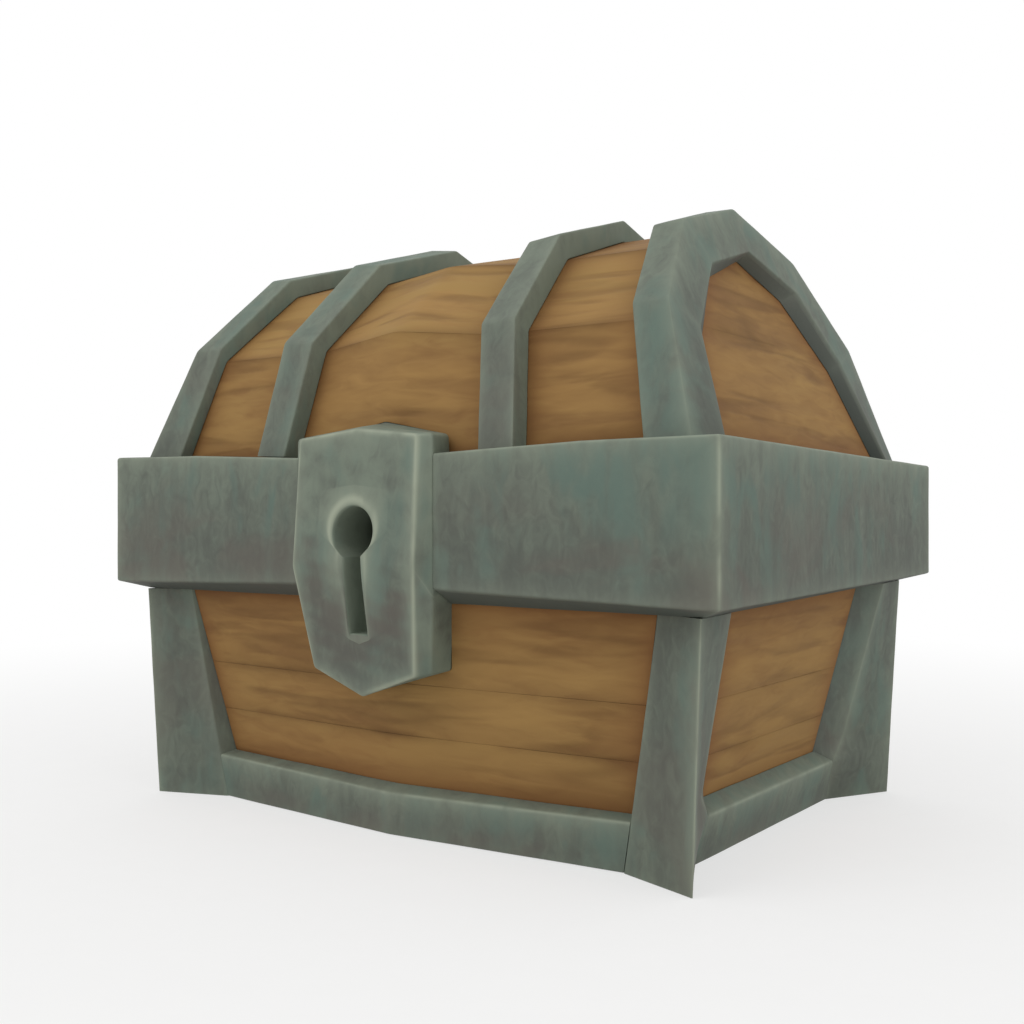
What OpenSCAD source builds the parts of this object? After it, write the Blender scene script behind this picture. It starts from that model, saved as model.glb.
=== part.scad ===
// Domed treasure chest: a timber box bound in iron, with a faceted lid on two rear hinges
// Millimetres, +Z up, front towards -Y. The origin is on the ground, under the middle of the chest.

/* [Rim band] */
// Width over the rim band
rim_w = 330; // [315:1:345]
// Depth over the rim band
rim_d = 235.4; // [228:0.1:243]
// Height of the band's top edge at the front corners
rim_top_corner = 166.1; // [165.6:0.1:170]
// Height of the band at the front corners
rim_h = 61.2; // [58:0.1:63]
// How far the front band's top edge lies below its corners, at its shoulders
shoulder_drop = 0.5; // [0:0.1:2]
// How far the front band's top edge lies below its corners, beside the lock
lock_drop = 3.2; // [0:0.1:4]
// How far the band's top edge along the back lies below its front corners
back_drop = 4; // [2:0.1:5]
// How far the front band's lower edge lies above its corners, at its shoulders
shoulder_lift = 1.4; // [0:0.1:4]
// How far the front band's lower edge lies above its corners, beside the lock
lock_lift = 3.2; // [0:0.1:6]
// How far the band's lower edge along the back lies above its front corners
back_lift = 3.8; // [2:0.1:6]
// Distance of the shoulders from the band's ends
shoulder_in = 58; // [35:1:85]
// Depth of the rim, from the band's face to the inside of the chest
rim_deep = 31; // [30:0.5:32]
// Thickness of the band's plate
band_t = 3; // [2:0.1:4]
// Width of the lip under the band
lip_deep = 12; // [8:0.5:14]

/* [Corner irons] */
// How far the rim's seat on the irons lies below the band's lower edge, at the front
seat_front_drop = 4.1; // [2:0.1:6]
// How far the rim's seat on the irons lies below the band's lower edge, at the back
seat_back_drop = 3.3; // [2:0.1:6]
// The points below are measured in from the band's outer faces.
// Outer corner at the top, across
post_top_in_x = 12.1; // [9:0.1:17]
// Outer corner at the top, along the depth
post_top_in_y = 9.6; // [7:0.1:13]
// Outer corner on the ground, across
post_foot_in_x = 16.7; // [9:0.1:23]
// Outer corner on the ground, along the depth
post_foot_in_y = 12.4; // [7:0.1:16]
// Ridge on the front face at the top, across
front_ridge_top_in_x = 34.4; // [29:0.1:35]
// Ridge on the front face at the top, along the depth
front_ridge_top_in_y = 18.7; // [15:0.1:19]
// Ridge on the front face on the ground, across
front_ridge_foot_in_x = 53.1; // [43:0.1:56]
// Ridge on the front face on the ground, along the depth
front_ridge_foot_in_y = 25.3; // [20:0.1:30]
// Ridge on the side face at the top, across
side_ridge_top_in_x = 12.3; // [9:0.1:17]
// Ridge on the side face at the top, along the depth
side_ridge_top_in_y = 34.6; // [28:0.1:44]
// Ridge on the side face on the ground, across
side_ridge_foot_in_x = 35.6; // [29:0.1:39]
// Ridge on the side face on the ground, along the depth
side_ridge_foot_in_y = 46.7; // [40:0.1:55]
// Height at which the side ridge turns towards the base rail
side_turn_z = 29; // [27:0.5:40]

/* [Base rails] */
// Height of the front rail's ridge at its ends
front_rail_z = 20.3; // [14:0.1:21]
// Height of the front rail's ridge at the middle
front_rail_mid_z = 17.8; // [12:0.1:20]
// Height where the front boards show above the rail, at its ends
front_sill_z = 21.9; // [21:0.1:26]
// Height where the front boards show above the rail, at the middle
front_sill_mid_z = 20.9; // [20:0.1:26]
// Front rail's ridge at the middle, in from the band's face
front_rail_mid_in = 17; // [14:0.1:24]
// Front rail on the ground at the middle, in from the band's face
front_foot_mid_in = 16.1; // [13:0.1:24]
// Height of the side rail's ridge
side_rail_z = 20; // [14:0.1:24]
// Side rail's ridge, in from the band's face across
side_rail_in_x = 30; // [25:0.1:35]
// Ends of the side rail's ridge, in from the band's face along the depth
side_rail_in_y = 51.7; // [48:0.1:58]
// Height where the side boards show above the rail
side_sill_z = 25.4; // [25:0.1:26.5]

/* [Walls] */
// The points below are measured in from the band's outer faces.
// Edge of the front boards at the rim, across
front_wall_top_in_x = 35.3; // [35:0.1:41]
// Face of the front boards at the rim, at their ends
front_wall_top_in_y = 19.6; // [19:0.1:24]
// Edge of the front boards on the ground, across
front_wall_foot_in_x = 56.7; // [56:0.1:61]
// Face of the front boards on the ground, at their ends
front_wall_foot_in_y = 35.3; // [33:0.1:39]
// Face of the side boards at the rim
side_wall_top_in_x = 20.3; // [18:0.1:25]
// Edge of the side boards at the rim, along the depth
side_wall_top_in_y = 49.7; // [43:0.1:58]
// Face of the side boards on the ground
side_wall_foot_in_x = 42.6; // [40:0.1:46]
// Edge of the side boards on the ground, along the depth
side_wall_foot_in_y = 63.3; // [59:0.1:70]
// How far the front boards bulge at the middle
wall_crown = 7.8; // [0:0.1:8]
// Thickness of the wall boards
wall_t = 9.5; // [7:0.1:11]
// Height of the walls' lower edge above the ground
wall_foot_z = 3; // [1:0.1:7]
// Lower seam between the wall boards, as a share of the seat's height at the front
seam_low_share = 0.4226; // [0.3:0.001:0.5]
// Upper seam between the wall boards, as a share of the seat's height at the front
seam_high_share = 0.6498; // [0.55:0.001:0.8]

/* [Floor] */
// Height of the cross battens above the ground
batten_low_z = 1; // [0.5:0.1:3]
// Height of the floor boards' underside
floor_z = 8; // [5:0.1:12]
// Thickness of the floor boards
floor_t = 8; // [5:0.1:12]
// Width of a cross batten
batten_w = 22; // [12:1:40]
// Distance of the battens from the middle
batten_x = 68; // [40:1:90]

/* [Lid] */
// Height of the dome, from the rim's front corners to the top of the middle straps
lid_h = 110.4; // [105:0.1:116]
// Gap between the lid and the rim
lid_gap = 0.5; // [0.3:0.05:0.8]
// Thickness of the staves
stave_t = 8.5; // [6:0.1:9]
// Thickness of the end boards, measured level
end_t = 8.5; // [6:0.1:10]
// Face of the end boards at the rim, as a share of half the rim's width
end_foot_share = 0.8909; // [0.875:0.001:0.9]
// Face of the end boards at the ridge of the dome, as a share of half the rim's width
end_top_share = 0.6624; // [0.65:0.001:0.67]

/* [Lock] */
// Width of the lock block
lock_w = 76.2; // [70:0.1:84]
// Height of the lock block
lock_h = 116.8; // [110:0.1:120]
// How far the lock block's crest stands above the band
lock_over = 15.1; // [12:0.1:18]
// How far the lock block stands out from the band's face
lock_proud = 7.7; // [6:0.1:10]
// Depth of the lock block
lock_d = 25.8; // [25:0.1:27]
// Height of the keyhole's round end, as a share of the way from the rim's seat to its top
keyhole_share = 0.4767; // [0.42:0.001:0.52]
// Radius of the keyhole's round end
keyhole_r = 11; // [8:0.1:12]
// Width of the keyhole's slot at its top
slot_top_w = 8.7; // [6:0.1:12]
// Width of the keyhole's slot at its foot
slot_foot_w = 10.7; // [6:0.1:14]
// Length of the keyhole's slot, from the middle of its round end
slot_len = 42.4; // [36:0.1:46]
// Depth of the blind part of the slot
slot_deep = 17; // [8:0.5:18]
// Width of the lock case
case_w = 52; // [48:0.5:60]
// Underside of the lock case, as a share of the way from the rim's seat to its top
case_low_share = 0.1804; // [0.15:0.001:0.2]
// Thickness of the case's walls
case_t = 1.6; // [1:0.1:2]
// Depth inside the case
case_deep = 10.1; // [9.8:0.1:10.6]
// Thickness of the cap behind the case
cap_t = 1.4; // [1:0.1:2]
// Radius of the pin that a key turns on
key_pin_r = 2; // [1:0.1:3]

/* [Bolt and staple] */
// Travel of the bolt
bolt_travel = 9; // [7:0.1:9.5]
// Length of the bolt
bolt_len = 30.5; // [26:0.5:31]
// Height of the bolt's section
bolt_h = 6; // [4:0.1:7]
// Thickness of the bolt
bolt_t = 3.4; // [2:0.1:3.8]
// Height of the bolt's middle, as a share of the way from the rim's seat to its top
bolt_share = 0.7923; // [0.76:0.001:0.8]
// Thickness of the staple's tongue
tongue_t = 4; // [3:0.1:5]
// Width of the staple's tongue, along the depth
tongue_w = 7.8; // [7:0.1:8]
// Distance of the tongue's middle from the chest's middle
tongue_x = 16; // [15:0.1:17]
// Play of the tongue in its slot, and of the bolt in the staple's eye
staple_play = 0.6; // [0.4:0.1:0.8]
// Metal left below the staple's eye
eye_foot = 2.8; // [2:0.1:3.5]
// Width of the staple's plate on the stave
staple_w = 20; // [12:1:30]
// Height of the staple's plate
staple_h = 24; // [14:1:30]
// Thickness of the staple's plate
staple_t = 2.6; // [1.5:0.1:3]
// Length of each ledge that guides the bolt
guide_len = 8; // [5:0.5:12]
// Height of a ledge
guide_h = 1.6; // [1:0.1:2]
// Width of the bolt's notch, which takes the key's bit
notch_w = 9; // [6:0.5:12]
// Depth of the notch
notch_h = 1.8; // [1:0.1:2.4]
// Thickness of the spring bar over the bolt
spring_t = 0.8; // [0.4:0.1:1]

/* [Hinges] */
// How far the hinge axis lies above the band's top edge along the back
hinge_over = 1.9; // [1.5:0.1:3]
// Radius of the knuckles
knuckle_r = 3.6; // [3.2:0.1:3.7]
// Radius of the pin
pin_r = 1.6; // [1.2:0.1:2]
// Length of the lid leaf's knuckle
lid_knuckle = 11; // [8:0.5:16]
// Length of each of the fixed knuckles
side_knuckle = 6; // [4:0.5:10]
// Thickness of the leaves
leaf_t = 1.8; // [1.2:0.1:2]
// Height of the fixed leaf's plate
leaf_drop = 32; // [20:1:45]
// Height of the lid leaf's plate up the strap
leaf_rise = 36; // [20:1:48]
// Radius of the pin's heads
pin_head_r = 2.6; // [2.2:0.1:3.2]
// Thickness of the pin's heads
pin_head_t = 1.2; // [0.8:0.1:2]

/* [Hidden] */
$fn = 48;
// Clearance between neighbouring pieces
fit = 0.3;
// Gap along the seams between boards or staves
seam = 0.3;
// Play of a hinge pin in its bore, and of the knuckles end to end
pin_play = 0.05;
knuckle_gap = 0.4;
// How far a cut runs past the face that it opens
overrun = 2;

half_w = rim_w / 2;
half_d = rim_d / 2;
rim_top_shoulder = rim_top_corner - shoulder_drop;
rim_top_lock = rim_top_corner - lock_drop;
rim_top_back = rim_top_corner - back_drop;
rim_low_corner = rim_top_corner - rim_h;
rim_low_shoulder = rim_low_corner + shoulder_lift;
rim_low_lock = rim_low_corner + lock_lift;
rim_low_back = rim_low_corner + back_lift;
shoulder_x = half_w - shoulder_in;

// Plan points of the body on the ground and at the seat
seat_front = rim_low_corner - seat_front_drop;
seat_back = rim_low_back - seat_back_drop;
post_foot = [half_w - post_foot_in_x, half_d - post_foot_in_y];
post_top = [half_w - post_top_in_x, half_d - post_top_in_y];
front_ridge_foot = [half_w - front_ridge_foot_in_x, half_d - front_ridge_foot_in_y];
front_ridge_top = [half_w - front_ridge_top_in_x, half_d - front_ridge_top_in_y];
side_ridge_foot = [half_w - side_ridge_foot_in_x, half_d - side_ridge_foot_in_y];
side_ridge_top = [half_w - side_ridge_top_in_x, half_d - side_ridge_top_in_y];
front_wall_foot = [half_w - front_wall_foot_in_x, half_d - front_wall_foot_in_y];
front_wall_top = [half_w - front_wall_top_in_x, half_d - front_wall_top_in_y];
side_wall_foot = [half_w - side_wall_foot_in_x, half_d - side_wall_foot_in_y];
side_wall_top = [half_w - side_wall_top_in_x, half_d - side_wall_top_in_y];
side_rail_ridge = [half_w - side_rail_in_x, half_d - side_rail_in_y];
front_rail_mid_y = half_d - front_rail_mid_in;
front_foot_mid_y = half_d - front_foot_mid_in;
seam_low_z = seam_low_share * seat_front;
seam_high_z = seam_high_share * seat_front;
end_foot_x = end_foot_share * half_w;
end_top_x = end_top_share * half_w;

lock_half = lock_w / 2 + fit;
lock_reach = half_d + lock_proud;
lock_back = lock_reach - lock_d;
lock_low_z = rim_top_lock + lock_over - lock_h;
keyhole_z = mix(seat_front, rim_top_lock, keyhole_share);
slot_foot_z = keyhole_z - slot_len;
case_low_z = mix(seat_front, rim_top_lock, case_low_share);
bolt_z = mix(seat_front, rim_top_lock, bolt_share);
hinge_z = rim_top_back + hinge_over;
hinge_y = half_d + knuckle_r + lid_gap;

// Lid outlines, front foot to ridge. A row holds the shares of half the rim's width,
// of half its depth, and of the dome's height.
strap_outer_shares = [[0.437, 0.938, 0], [0.397, 0.845, 0.4656], [0.365, 0.491, 0.846], [0.354, 0, 1]];
strap_inner_shares = [[0.331, 0.936, 0], [0.291, 0.841, 0.4547], [0.262, 0.491, 0.8315], [0.252, 0, 0.981]];
hoop_inner_shares = [[0.78, 0.914, 0], [0.703, 0.791, 0.4828], [0.636, 0.4834, 0.8252], [0.61, 0, 0.981]];
hoop_ridge_shares = [[0.908, 0.932, 0], [0.803, 0.802, 0.4819], [0.721, 0.4766, 0.837], [0.694, 0, 0.9764]];
hoop_face_shares = [[0.931, 0.7553, 0], [0.822, 0.632, 0.405], [0.763, 0.3772, 0.683], [0.739, 0, 0.7953]];
hoop_rebate_shares = [[0, 0.701, 0], [0, 0.5607, 0.3632], [0, 0.3084, 0.6404], [0, 0, 0.7591]];
wood_shares = [[0, 0.85, 0], [0, 0.756, 0.425], [0, 0.4375, 0.751], [0, 0, 0.905]];
wood_mid_shares = [[0, 0.875, 0], [0, 0.82, 0.4656], [0, 0.4843, 0.781], [0, 0, 0.905]];

// Points 0 to 6 run from the lid's front foot over its ridge to its back foot
ridge = len(wood_shares) - 1;
back_foot = 2 * ridge;

// Lock outlines, crest to tip. A row holds the shares of half the lock's width, of its depth
// from the back, and of its height.
lock_front_shares = [
    [0, 0.849, 0.963], [0.853, 0.857, 0.936], [0.887, 1, 0.476], [0.74, 0.705, 0.088], [0, 0.717, 0]
];
lock_mid_shares = [[0, 0.7, 0.975], [1, 0.7, 0.94], [1, 0.7, 0.371], [0.84, 0.44, 0.095], [0, 0.48, 0.007]];
lock_back_shares = [[0, 0, 1], [0.892, 0, 0.943], [0.979, 0, 0.392], [0.879, 0, 0.102], [0, 0, 0.017]];

wood_color = [0.56, 0.41, 0.25];
inner_wood_color = [0.46, 0.33, 0.2];
iron_color = [0.41, 0.46, 0.42];
steel_color = [0.5, 0.51, 0.5];

function mix(a, b, t) = a + (b - a) * t;
function unit(v) = v / norm(v);
function at(p, z) = [p.x, p.y, z];
function total(list, i = 0) = i == len(list) - 1 ? list[i] : list[i] + total(list, i + 1);
function ring_centre(ring) = total(ring) / len(ring);
function ring_area(ring) = total([for (i = [0:len(ring) - 1]) cross(ring[i], ring[(i + 1) % len(ring)])]);

// Solid through a row of rings with the same number of points. Cells are the convex parts of a
// hollow ring, as lists of its points, and the ends are closed with triangles cell by cell. The
// diagonals of the second half of the sides slant the other way, so that the mitred faces of two
// neighbours, which are opposite sides of their rings, are cut alike.
module loft(rings, cells = undef) {
    n = len(rings[0]);
    last = n * (len(rings) - 1);
    sides = [for (k = [0:len(rings) - 2], i = [0:n - 1])
        let (a = k * n + i, b = k * n + (i + 1) % n)
        each i < n / 2 ? [[a, b + n, b], [a, a + n, b + n]] : [[a, a + n, b], [b, a + n, b + n]]];
    whole = [for (i = [0:n - 1]) i];
    caps = [for (c = is_undef(cells) ? [whole] : cells, i = [1:len(c) - 2])
        each [[c[0], c[i], c[i + 1]], [last + c[0], last + c[i + 1], last + c[i]]]];
    faces = concat(sides, caps);
    forward = ring_area(rings[0]) * (ring_centre(rings[1]) - ring_centre(rings[0])) > 0;
    polyhedron(
        points = [for (r = rings) each r],
        faces = forward ? faces : [for (f = faces) [for (i = [len(f) - 1:-1:0]) f[i]]]
    );
}

// Outline in the Y-Z plane, extruded along X about a middle
module across(x, w, outline) {
    translate([x - w / 2, 0, 0])
        rotate([90, 0, 90])
            linear_extrude(w)
                polygon(outline);
}

module box(low, high) {
    translate(low)
        cube(high - low);
}

// Heights of the rim: its top and lower edges bend at the lock and at the shoulders in front
function step_value(x, lock_value, shoulder_value, corner_value) =
    abs(x) <= lock_half ? lock_value
    : abs(x) <= shoulder_x
    ? mix(lock_value, shoulder_value, (abs(x) - lock_half) / (shoulder_x - lock_half))
    : mix(shoulder_value, corner_value, (abs(x) - shoulder_x) / (half_w - shoulder_x));
function back_part(y) = (y + half_d) / rim_d;
function rim_z(x, y) =
    mix(step_value(x, rim_top_lock, rim_top_shoulder, rim_top_corner), rim_top_back, back_part(y));
function low_z(x, y) =
    mix(step_value(x, rim_low_lock, rim_low_shoulder, rim_low_corner), rim_low_back, back_part(y));
function seat_z(y) = mix(seat_front, seat_back, back_part(y));

// Plan points at a height: each runs straight from the ground to the seat at the front
function rise(foot, top, z) = mix(foot, top, z / seat_front);
function front_wall(z) = rise(front_wall_foot, front_wall_top, z);
function side_wall(z) = rise(side_wall_foot, side_wall_top, z);
function post_edge(z) = rise(post_foot, post_top, z);
function front_ridge(z) = rise(front_ridge_foot, front_ridge_top, z);
function side_ridge(z) = rise(side_ridge_foot, side_ridge_top, z);
function turned(p, side) = [p.x * side.x, p.y * side.y];

// Walls

function long_wall_ring(sy, z, grow = 0) =
    let (w = front_wall(z), x = w.x - fit)
    [
        [-x, sy * (w.y + grow), z],
        [0, sy * (w.y + wall_crown + grow), z],
        [x, sy * (w.y + grow), z],
        [x, sy * (w.y - wall_t), z],
        [-x, sy * (w.y - wall_t), z]
    ];
function long_wall_top(sy) = min(seat_z(sy * front_wall_top.y), seat_z(sy * (front_wall_top.y - wall_t)));

function short_wall_point(sx, sy, z, deep) =
    let (h = z < seam_high_z + seam + fit ? z : seat_z(sy * side_wall(z).y), w = side_wall(h))
    [sx * (w.x - deep), sy * (w.y - fit), h];
function short_wall_ring(sx, z) = [
    short_wall_point(sx, -1, z, 0),
    short_wall_point(sx, 1, z, 0),
    short_wall_point(sx, 1, z, wall_t),
    short_wall_point(sx, -1, z, wall_t)
];

// A board lies between two of the seams, counted from the ground
function board_low(k) = [wall_foot_z, seam_low_z + seam, seam_high_z + seam][k];
function board_high(k, top) = [seam_low_z, seam_high_z, top][k];

module long_board(sy, k) {
    color(wood_color)
        loft([long_wall_ring(sy, board_low(k)), long_wall_ring(sy, board_high(k, long_wall_top(sy)))]);
}

module short_board(sx, k) {
    color(wood_color)
        loft([short_wall_ring(sx, board_low(k)), short_wall_ring(sx, board_high(k, seat_front))]);
}

// Floor

function floor_end_x() = side_wall(floor_z).x - wall_t - fit;
function floor_split_y() = side_wall(floor_z).y - fit;

module floor_board_middle() {
    color(inner_wood_color)
        box(
            [-floor_end_x(), -floor_split_y(), floor_z],
            [floor_end_x(), floor_split_y(), floor_z + floor_t]
        );
}

module floor_board_side(sy) {
    far_x = front_wall(floor_z).x - fit;
    far_y = front_wall(floor_z).y - wall_t - fit;
    near_y = floor_split_y() + seam;
    color(inner_wood_color)
        translate([0, 0, floor_z])
            linear_extrude(floor_t)
                polygon([
                    [-floor_end_x(), sy * near_y], [floor_end_x(), sy * near_y],
                    [far_x, sy * far_y], [-far_x, sy * far_y]
                ]);
}

module battens() {
    reach_y = front_wall(wall_foot_z).y - wall_t - fit;
    color(inner_wood_color)
        for (sx = [-1, 1])
            box(
                [sx * batten_x - batten_w / 2, -reach_y, batten_low_z],
                [sx * batten_x + batten_w / 2, reach_y, floor_z]
            );
}

// Corner irons: ridge, outer corner, ridge, then back along the ends of the boards

function corner_ring(side, ridge_f, corner, ridge_s, wood_s, wood_f) = [
    at(turned(ridge_f, side), ridge_f.z),
    at(turned(corner, side), corner.z),
    at(turned(ridge_s, side), ridge_s.z),
    at(turned(wood_s, side), wood_s.z),
    at(turned(wood_s - [wall_t, 0, 0], side), wood_s.z),
    at(turned(wood_f - [0, wall_t, 0], side), wood_f.z),
    at(turned(wood_f, side), wood_f.z)
];
function level_ring(side, z) = corner_ring(
    side,
    at(front_ridge(z), z),
    at(post_edge(z), z),
    at(side_ridge(z), z),
    at(side_wall(z), z),
    at(front_wall(z), z)
);
function rail_ring(side) = corner_ring(
    side,
    at(front_ridge(front_rail_z), front_rail_z),
    at(post_edge(front_rail_z), front_rail_z),
    at(side_rail_ridge, side_rail_z),
    at(side_wall(side_sill_z), side_sill_z),
    at(front_wall(front_sill_z), front_sill_z)
);
function seated(side, line) = let (z = seat_z(side.y * line(seat_front).y)) at(line(z), z);
function seat_ring(side) = corner_ring(
    side,
    seated(side, function (z) front_ridge(z)),
    seated(side, function (z) post_edge(z)),
    seated(side, function (z) side_ridge(z)),
    seated(side, function (z) side_wall(z)),
    seated(side, function (z) front_wall(z))
);

module corner_iron(sx, sy) {
    side = [sx, sy];
    color(iron_color)
        loft([level_ring(side, 0), rail_ring(side), level_ring(side, side_turn_z), seat_ring(side)]);
}

// Base rails

function long_rail_end(sx, sy) =
    let (
        ridge = front_ridge(front_rail_z),
        sill = front_wall(front_sill_z),
        wall_foot = front_wall(0),
        foot = front_ridge(0)
    )
    [
        [sx * (ridge.x - fit), sy * ridge.y, front_rail_z],
        [sx * (sill.x - fit), sy * (sill.y + fit), front_sill_z],
        [sx * (wall_foot.x - fit), sy * (wall_foot.y + fit), 0],
        [sx * (foot.x - fit), sy * foot.y, 0]
    ];
function long_rail_middle(sy) = [
    [0, sy * front_rail_mid_y, front_rail_mid_z],
    [0, sy * (front_wall(front_sill_mid_z).y + wall_crown + fit), front_sill_mid_z],
    [0, sy * (front_wall(0).y + wall_crown + fit), 0],
    [0, sy * front_foot_mid_y, 0]
];
function short_rail_end(sx, sy) =
    let (sill = side_wall(side_sill_z), wall_foot = side_wall(0), foot = side_ridge(0))
    [
        [sx * foot.x, sy * (foot.y - fit), 0],
        [sx * side_rail_ridge.x, sy * (side_rail_ridge.y - fit), side_rail_z],
        [sx * (sill.x + fit), sy * (sill.y - fit), side_sill_z],
        [sx * (wall_foot.x + fit), sy * (wall_foot.y - fit), 0]
    ];

module long_rail(sy) {
    color(iron_color)
        loft([long_rail_end(-1, sy), long_rail_middle(sy), long_rail_end(1, sy)]);
}

module short_rail(sx) {
    color(iron_color)
        loft([short_rail_end(sx, -1), short_rail_end(sx, 1)]);
}

// Rim: an iron channel round a timber rail, mitred at the corners.
// A station is a share of the half length of its side, and 1 is the mitre.

shoulder_share = shoulder_x / half_w;
lock_share = lock_half / half_w;
long_station_shares = [-1, -shoulder_share, -lock_share, lock_share, shoulder_share, 1];
short_station_shares = [-1, 1];
half_station_shares = [lock_share, shoulder_share, 1];

function along(s, half, deep) = abs(s) == 1 ? s * (half - deep) : s * half;
function rim_point(side, s, deep) =
    side.x == 0
    ? [along(s, half_w, deep), side.y * (half_d - deep)]
    : [side.x * (half_w - deep), along(s, half_d, deep)];
function under_band(side, s, deep) =
    let (outer = rim_point(side, s, 0), lip = rim_point(side, s, lip_deep))
    mix(low_z(outer.x, outer.y), seat_z(lip.y) + fit, deep / lip_deep);
function top_at(p) = rim_z(p.x, p.y);

function band_ring(side, s) =
    let (
        outer = rim_point(side, s, 0),
        plate = rim_point(side, s, band_t),
        lip = rim_point(side, s, lip_deep),
        inner = rim_point(side, s, rim_deep)
    )
    [
        at(outer, under_band(side, s, 0)),
        at(lip, under_band(side, s, lip_deep)),
        at(lip, under_band(side, s, lip_deep) + band_t),
        at(plate, under_band(side, s, band_t) + band_t),
        at(plate, top_at(plate) - band_t),
        at(inner, top_at(inner) - band_t),
        at(inner, top_at(inner)),
        at(outer, top_at(outer))
    ];
function timber_ring(side, s) =
    let (
        plate = rim_point(side, s, band_t + fit),
        lip = rim_point(side, s, lip_deep + fit),
        inner = rim_point(side, s, rim_deep)
    )
    [
        at(plate, under_band(side, s, band_t) + band_t + fit),
        at(lip, under_band(side, s, lip_deep) + band_t + fit),
        at(lip, seat_z(lip.y) + fit),
        at(inner, seat_z(inner.y) + fit),
        at(inner, top_at(inner) - band_t - fit),
        at(plate, top_at(plate) - band_t - fit)
    ];

function band_cells() = [[0, 1, 2, 3], [0, 3, 4, 7], [4, 5, 6, 7]];
function timber_cells() = [[0, 1, 4, 5], [1, 2, 3, 4]];

module band(side, stations) {
    color(iron_color)
        loft([for (s = stations) band_ring(side, s)], band_cells());
}

module timber_rail(side, stations) {
    color(inner_wood_color)
        loft([for (s = stations) timber_ring(side, s)], timber_cells());
}

// Lock

case_half = case_w / 2;
block_rim_y = lock_back + fit;
case_front_y = block_rim_y - fit - fit;
case_inner_y = case_front_y - case_t;
plate_z = rim_top_lock - fit;
lid_front_y = wood_mid_shares[0].y * half_d + fit;
case_sill_z = case_low_z + case_t;
window_w = slot_top_w - case_t;

module front_rim_rail() {
    difference() {
        timber_rail([0, -1], long_station_shares);
        box([-lock_half, -half_d, 0], [lock_half, -block_rim_y + fit, rim_top_corner]);
        box([-case_half - fit, -half_d, case_low_z - fit], [case_half + fit, 0, rim_top_corner]);
    }
}

function lock_half_ring(rows, sx) = [for (r = rows) [
    sx * r.x * lock_w / 2,
    -lock_back - r.y * lock_d,
    lock_low_z + r.z * lock_h
]];
function lock_ring(rows) =
    let (right = lock_half_ring(rows, 1), left = lock_half_ring(rows, -1))
    concat(right, [for (i = [len(rows) - 2:-1:1]) left[i]]);

// The block's face is bent twice: at its widest point and above its tip
module lock_solid() {
    rings = [lock_ring(lock_front_shares), lock_ring(lock_mid_shares), lock_ring(lock_back_shares)];
    n = len(rings[0]);
    polyhedron(
        points = [for (r = rings) each r],
        faces = concat(
            [[7, 0, 1], [7, 1, 2], [7, 2, 6], [6, 2, 3], [6, 3, 5], [5, 3, 4]],
            [for (k = [0, 1], i = [0:n - 1])
                let (a = k * n + i, b = k * n + (i + 1) % n)
                each [[a, b + n, b], [a, a + n, b + n]]],
            [[for (i = [n - 1:-1:0]) 2 * n + i]]
        )
    );
}

// A round hole over a slot, cut from one distance in front of the chest's middle to another
module keyhole(from_y, to_y) {
    translate([0, -to_y, keyhole_z])
        rotate([90, 0, 0])
            cylinder(r = keyhole_r, h = from_y - to_y);
}

module slot(from_y, to_y, foot_z, top_w, foot_w) {
    translate([0, -to_y, 0])
        rotate([90, 0, 0])
            linear_extrude(from_y - to_y)
                polygon([
                    [-top_w / 2, keyhole_z], [-foot_w / 2, foot_z],
                    [foot_w / 2, foot_z], [top_w / 2, keyhole_z]
                ]);
}

module block() {
    shelf_z = plate_z - band_t - fit;
    color(iron_color)
        difference() {
            lock_solid();
            loft([long_wall_ring(-1, 0, fit), long_wall_ring(-1, long_wall_top(-1) + fit, fit)]);
            box([-lock_w, -block_rim_y, seat_front], [lock_w, 0, lock_low_z + lock_h + overrun]);
            box([-lock_w, -lid_front_y, shelf_z], [lock_w, 0, lock_low_z + lock_h + overrun]);
            keyhole(lock_reach + overrun, lock_back - overrun);
            slot(lock_reach + overrun, lock_back - overrun, case_sill_z, window_w, window_w);
            slot(lock_reach + overrun, lock_reach - slot_deep, slot_foot_z, slot_top_w, slot_foot_w);
        }
}

// The staple's plate lies against the inside of the front stave
function staple_face_y(z) =
    let (foot = on_rim(0, wood_inner(0)), bend = wood_inner(1))
    mix(foot.y, bend.y, (z - foot.z) / (bend.z - foot.z)) + fit;
staple_root_z = on_rim(0, wood_inner(0)).z - fit / 2;
eye_h = bolt_h + 2 * staple_play;
tongue_low_z = bolt_z - eye_h / 2 - eye_foot;
// The tongue rocks forward by this much while it leaves the case
tongue_rock = pow(hinge_z - tongue_low_z, 2) / (hinge_y + case_inner_y) / 2;
tongue_front_y = case_inner_y - tongue_rock - fit;
// The tongue is as wide as its size says, and reaches back into the staple's plate
tongue_back_y = min(tongue_front_y - tongue_w, -staple_face_y(staple_root_z) - staple_t / 2);
bolt_mid_y = tongue_front_y - tongue_w / 2;
// The case is as deep as its size says, and holds the tongue
case_back_y = min(case_inner_y - case_deep, tongue_back_y - staple_play);
cap_front_y = case_back_y - fit;
bolt_tip_x = tongue_x - tongue_t / 2 - staple_play - fit;

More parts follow.
